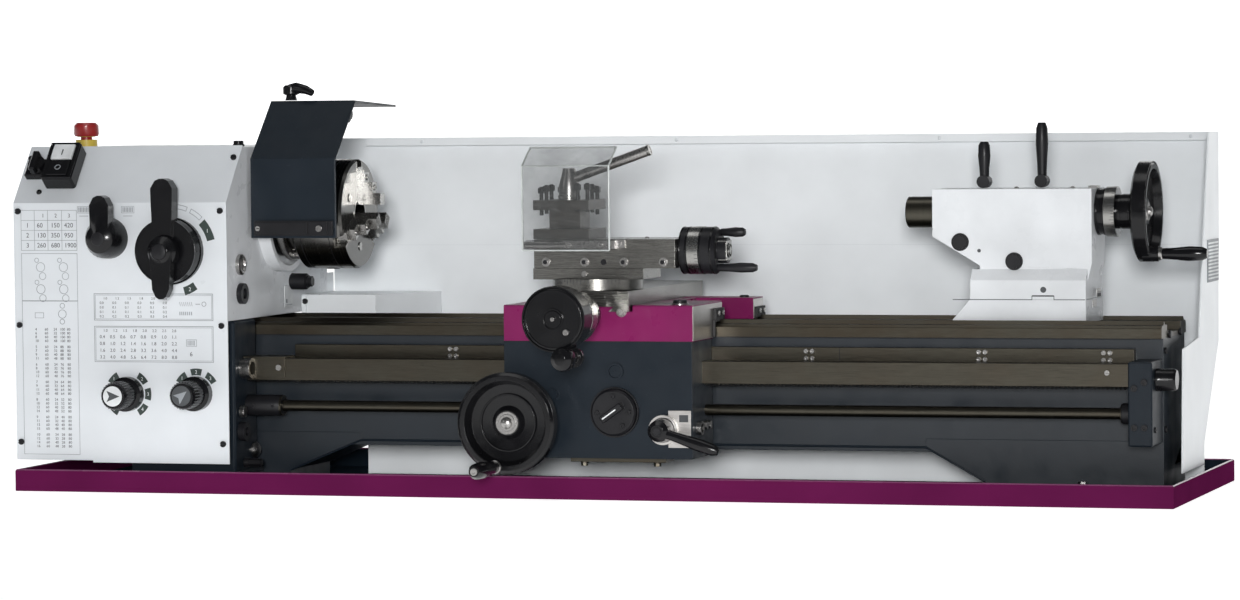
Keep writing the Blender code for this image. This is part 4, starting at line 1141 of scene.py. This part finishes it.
def tool_post_details():
    spots = [(POST_X + a, TOP_Y + b) for a in (-34, 34) for b in (-23, 23)]
    spots += [(POST_X + b, TOP_Y + a) for a in (-34, 34) for b in (-23, 23)]
    screws = []
    for i, (x, y) in enumerate(spots):
        lift = 2.5 * (i % 3)
        screws.append(rod("z", (x, y, 0), 396 + lift, 403.9, 2.9, 16, 0.6))
        screws.append(rod("z", (x, y, 0), 417.7, 428 + lift, 2.9, 16))
        screws.append(prism("z", [(x - 4, y - 4), (x + 4, y - 4), (x + 4, y + 4), (x - 4, y + 4)],
                            427 + lift, 435 + lift))
        screws.append(rod("z", (x, y, 0), 434 + lift, 436.6 + lift, 3.0, 16, 0.8))
    piece("tool_clamp_screws", "tool_post", "black_metal", screws, 0.4)
    rims = [ring("z", (POST_X, TOP_Y, 0), 417.7, 418.5, 22, 15.5, 40)]
    piece("tool_post_washer", "tool_post", "steel", rims, 0.1)
    spin = turn_about((POST_X, TOP_Y, 446), "Y", -19)
    end = moved(turned("x", (POST_X, TOP_Y, 446),
                       [(125.4, 0), (125.4, 5.4), (126.6, 5.4), (126.6, 7.8), (123, 7.8), (122, 7.4)],
                       32), spin)
    collar = turned("z", (POST_X, TOP_Y, 0), [(419.0, 15), (419.0, 16.2), (423, 16.2), (424, 15)], 40)
    piece("post_lever_ends", "tool_post_lever", "dial", [end, collar], 0.2)


def shield_details():
    y = -203.6
    edges = []
    for x in (-79.6, 47.6):
        edges.append(tube([(x, y, 348), (x, y, 466.4), (x, -164.4, 491.6)], 1.5, 8))
    edges.append(tube([(-79.6, y, 466.4), (47.6, y, 466.4)], 1.1, 8))
    edges.append(tube([(-79.6, -164.4, 491.6), (47.6, -164.4, 491.6)], 1.3, 8))
    edges.append(tube([(-79.6, y, 348), (47.6, y, 348)], 1.3, 8))
    piece("shield_edges", "tool_shield", "acrylic_edge", edges, 0.1)


# ---------- tailstock and splash guard ----------


def tailstock_details():
    shapes = plug("y", -1, (513, -46, 354), 12.6, 4) + plug("y", -1, (590, -46, 327), 12.6, 4)
    piece("tailstock_plugs", "tailstock", "black_metal", shapes, 0.3)
    y = -60.0
    dark = [rod("y", (634, 0, 288), y - 0.4, y + 0.4, 4.2, 24),
            rod("y", (540, 0, 342), -46.3, -45.6, 2.6, 16)]
    dark += [block(505, 618, y - 0.2, y + 0.3, 273.6, 274.7),
             block(649, 693, y - 0.2, y + 0.3, 273.6, 274.7)]
    dark += [block(617.4, 618.4, y - 0.2, y + 0.3, 273.6, 279.6),
             block(648.6, 649.6, y - 0.2, y + 0.3, 273.6, 279.6)]
    dark += [block(618, 649, y - 0.3, y + 0.3, 278.4, 280.4)]
    piece("tailstock_lines", "tailstock", "ink", dark, 0.05)
    scale = [block(694.0, 694.6, -14, 14, 262, 272)]
    scale += [block(700.0, 700.6, -14, 14, 276, 288)]
    piece("offset_scale", "tailstock", "side_steel", scale, 0.1)
    ticks = [block(700.5, 700.9, -12 + 2 * i, -11.5 + 2 * i, 276.5, 281 if i % 5 else 284)
             for i in range(13)]
    piece("offset_marks", "tailstock", "ink", ticks, 0.03)
    oilers = [dome("z", 1, (584, 0, 427.9), 3.6, 2.6), dome("z", 1, (664, 0, 427.9), 3.6, 2.6)]
    oilers += [block(688, 701.5, -8, 8, 427.4, 431.5)]
    piece("tailstock_oilers", "tailstock", "steel", oilers, 0.5)
    mouth = turned("x", HEAD_AXIS, [(QUILL_TIP, 20.4), (QUILL_TIP - 0.1, 20), (QUILL_TIP - 0.1, 12.4),
                                    (QUILL_TIP + 3, 12.2)], 48)
    piece("quill_mouth", "quill", "steel", [mouth], 0.05)
    axis = HEAD_AXIS
    dial("tail_dial", "tailstock_handwheel", "x", axis, 713.2, 728.8, 35.0, 50)
    rims = [ring("x", axis, 700.6, 703.4, 33.2, 31.5, 64), ring("x", axis, 709.6, 712.6, 33.2, 31.5, 64)]
    rims += [ring("x", axis, 760.5, 778.6, 70.4, 68.5, 96), ring("x", axis, 778.6, 779.6, 66.5, 61, 88)]
    rims += [ring("x", axis, 735, 746.5, 24.6, 23, 56)]
    piece("tail_wheel_rims", "tailstock_handwheel", "black", rims, 0.5)
    hub = turned("x", axis, [(769.8, 0), (769.8, 14), (771.6, 13), (771.6, 8), (775, 7), (777, 4),
                             (777, 0)], 40)
    piece("tail_wheel_nut", "tailstock_handwheel", "steel", [hub], 0.2)
    grip_axis = (0, -24, AXIS_Z - 58)
    ends = [turned("x", grip_axis, [(790.4, 0), (790.4, 9), (794, 9), (795.5, 7.5), (795.5, 0)], 28)]
    piece("tail_grip_ferrule", "tailstock_grip", "steel", ends, 0.2)


def splash_details():
    x = SPLASH_END
    label = [block(x + 0.2, x + 1.2, 140, 228, 290, 350)]
    piece("side_plate", "frame", "ink_grey", label, 0.2)
    rows = [block(x + 1.1, x + 1.5, 144, 224, 294 + 5 * i, 296.4 + 5 * i) for i in range(11)]
    piece("side_plate_rows", "frame", "ink_white", rows, 0.05)
    rivets = [dome("y", -1, (-500, 238.2, pz), 3.4, 1.8) for pz in (300, 470)]
    rivets += [dome("y", -1, (px, 225.8, 497), 2.8, 1.4) for px in (-380, 20, 420, 790)]
    piece("splash_rivets", "frame", "sheet", rivets, 0.1)
    fold = [tube([(-526, 238.4, 341), (826, 238.4, 341)], 1.0, 8),
            tube([(-526, 232.6, 318), (826, 232.6, 318)], 1.0, 8)]
    piece("splash_folds", "frame", "sheet", fold, 0.1)
    braces = [prism("x", [(240.3, 500), (246.5, 496), (246.5, 330), (240.3, 322)], bx - 16, bx + 16)
              for bx in (-400, 150, 700)]
    piece("splash_braces", "frame", "sheet", braces, 0.8)


def motor_details():
    fins = []
    for i in range(11):
        fx = -700 + 13.5 * i
        fins.append(ring("x", (fx, 160, 150), -1.6, 1.6, 64.5, 60, 56))
    piece("motor_fins", "frame", "body", fins, 0.4)


# ---------- floor, light and camera ----------


def make_stage():
    """A pale floor that curves up behind the machine."""
    profile = [(-FLOOR_HALF, 0.0), (CURVE_START, 0.0)]
    steps = [math.pi / 2 * i / 12 for i in range(1, 13)]
    profile += [(CURVE_START + CURVE_R * math.sin(t), CURVE_R - CURVE_R * math.cos(t)) for t in steps]
    profile.append((CURVE_START + CURVE_R, WALL_TOP))
    bm = bmesh.new()
    rows = [[bm.verts.new((x, y, z - 0.0004)) for x in (-FLOOR_HALF, FLOOR_HALF)] for y, z in profile]
    for low, high in zip(rows, rows[1:]):
        bm.faces.new([low[0], low[1], high[1], high[0]])
    mesh = bpy.data.meshes.new("floor")
    bm.to_mesh(mesh)
    bm.free()
    mesh.polygons.foreach_set("use_smooth", [True] * len(mesh.polygons))
    floor = bpy.data.objects.new("floor", mesh)
    bpy.context.scene.collection.objects.link(floor)
    g = Graph("floor_paper")
    tone = g.mix(g.ramp(g.noise(1.5, 3.0), 0.3, 0.7), rgba((0.86, 0.86, 0.86)), rgba((0.9, 0.9, 0.9)))
    y = g.split()[1]
    glow = g.math("ADD", g.ramp(y, -2.4, -1.3, 0.3, 0.86), g.ramp(y, 0.6, 2.2, 0.0, 0.14))
    g.finish(tone, 0.9, Emission_Color=(1, 1, 1, 1), Emission_Strength=glow)
    mesh.materials.append(g.material)


def area_light(name, at, target, size, power, spread=170):
    data = bpy.data.lights.new(name, "AREA")
    data.shape = "RECTANGLE"
    data.size, data.size_y = size
    data.energy = power
    data.spread = math.radians(spread)
    lamp = bpy.data.objects.new(name, data)
    lamp.location = at
    lamp.rotation_euler = (Vector(target) - Vector(at)).to_track_quat("-Z", "Y").to_euler()
    bpy.context.scene.collection.objects.link(lamp)


def make_light():
    middle = (0.0, 0.0, 0.3)
    area_light("key", (2.35, -8.6, 1.2), middle, (1.2, 1.2), 10, spread=24)
    area_light("side", (-4.6, -4.6, 2.4), middle, (1.2, 1.6), 10)
    area_light("top", (0.0, -0.2, 3.6), (0.0, 0.0, 0.0), (3.4, 1.2), 16)
    world = bpy.data.worlds.new("studio")
    world.use_nodes = True
    background = world.node_tree.nodes["Background"]
    background.inputs["Color"].default_value = (0.9, 0.95, 1.0, 1.0)
    background.inputs["Strength"].default_value = 0.08
    bpy.context.scene.world = world


def make_camera():
    yaw, pitch, roll = (math.radians(a) for a in (CAMERA_YAW, CAMERA_PITCH, CAMERA_ROLL))
    ahead = Vector((-math.sin(yaw) * math.cos(pitch), math.cos(yaw) * math.cos(pitch), -math.sin(pitch)))
    level = Vector((math.cos(yaw), math.sin(yaw), 0.0))
    over = level.cross(ahead)
    right = level * math.cos(roll) + over * math.sin(roll)
    up = over * math.cos(roll) - level * math.sin(roll)
    data = bpy.data.cameras.new("camera")
    data.sensor_width = 36.0
    data.lens = CAMERA_LENS
    data.clip_end = 60.0
    camera = bpy.data.objects.new("camera", data)
    rows = [[right[i], up[i], -ahead[i], CAMERA_AT[i]] for i in range(3)] + [[0, 0, 0, 1]]
    camera.matrix_world = Matrix(rows)
    bpy.context.scene.collection.objects.link(camera)
    bpy.context.scene.camera = camera


# ---------- assembly ----------

for item in list(bpy.data.objects):
    bpy.data.objects.remove(item)

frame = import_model()
LOOK = make_materials()
dress_nodes(frame["nodes"], LOOK)
make_stage()
make_light()
make_camera()
panel_print()
panel_screws()
controls()
headstock_side()
spindle_nose()
chuck_details()
guard_details()
rear_box_details()
screws_and_rack()
bed_details()
tray_details()
handwheels()
apron_details()
saddle_details()
compound_details()
tool_post_details()
shield_details()
tailstock_details()
splash_details()
motor_details()
bpy.context.scene.view_settings.view_transform = "Standard"
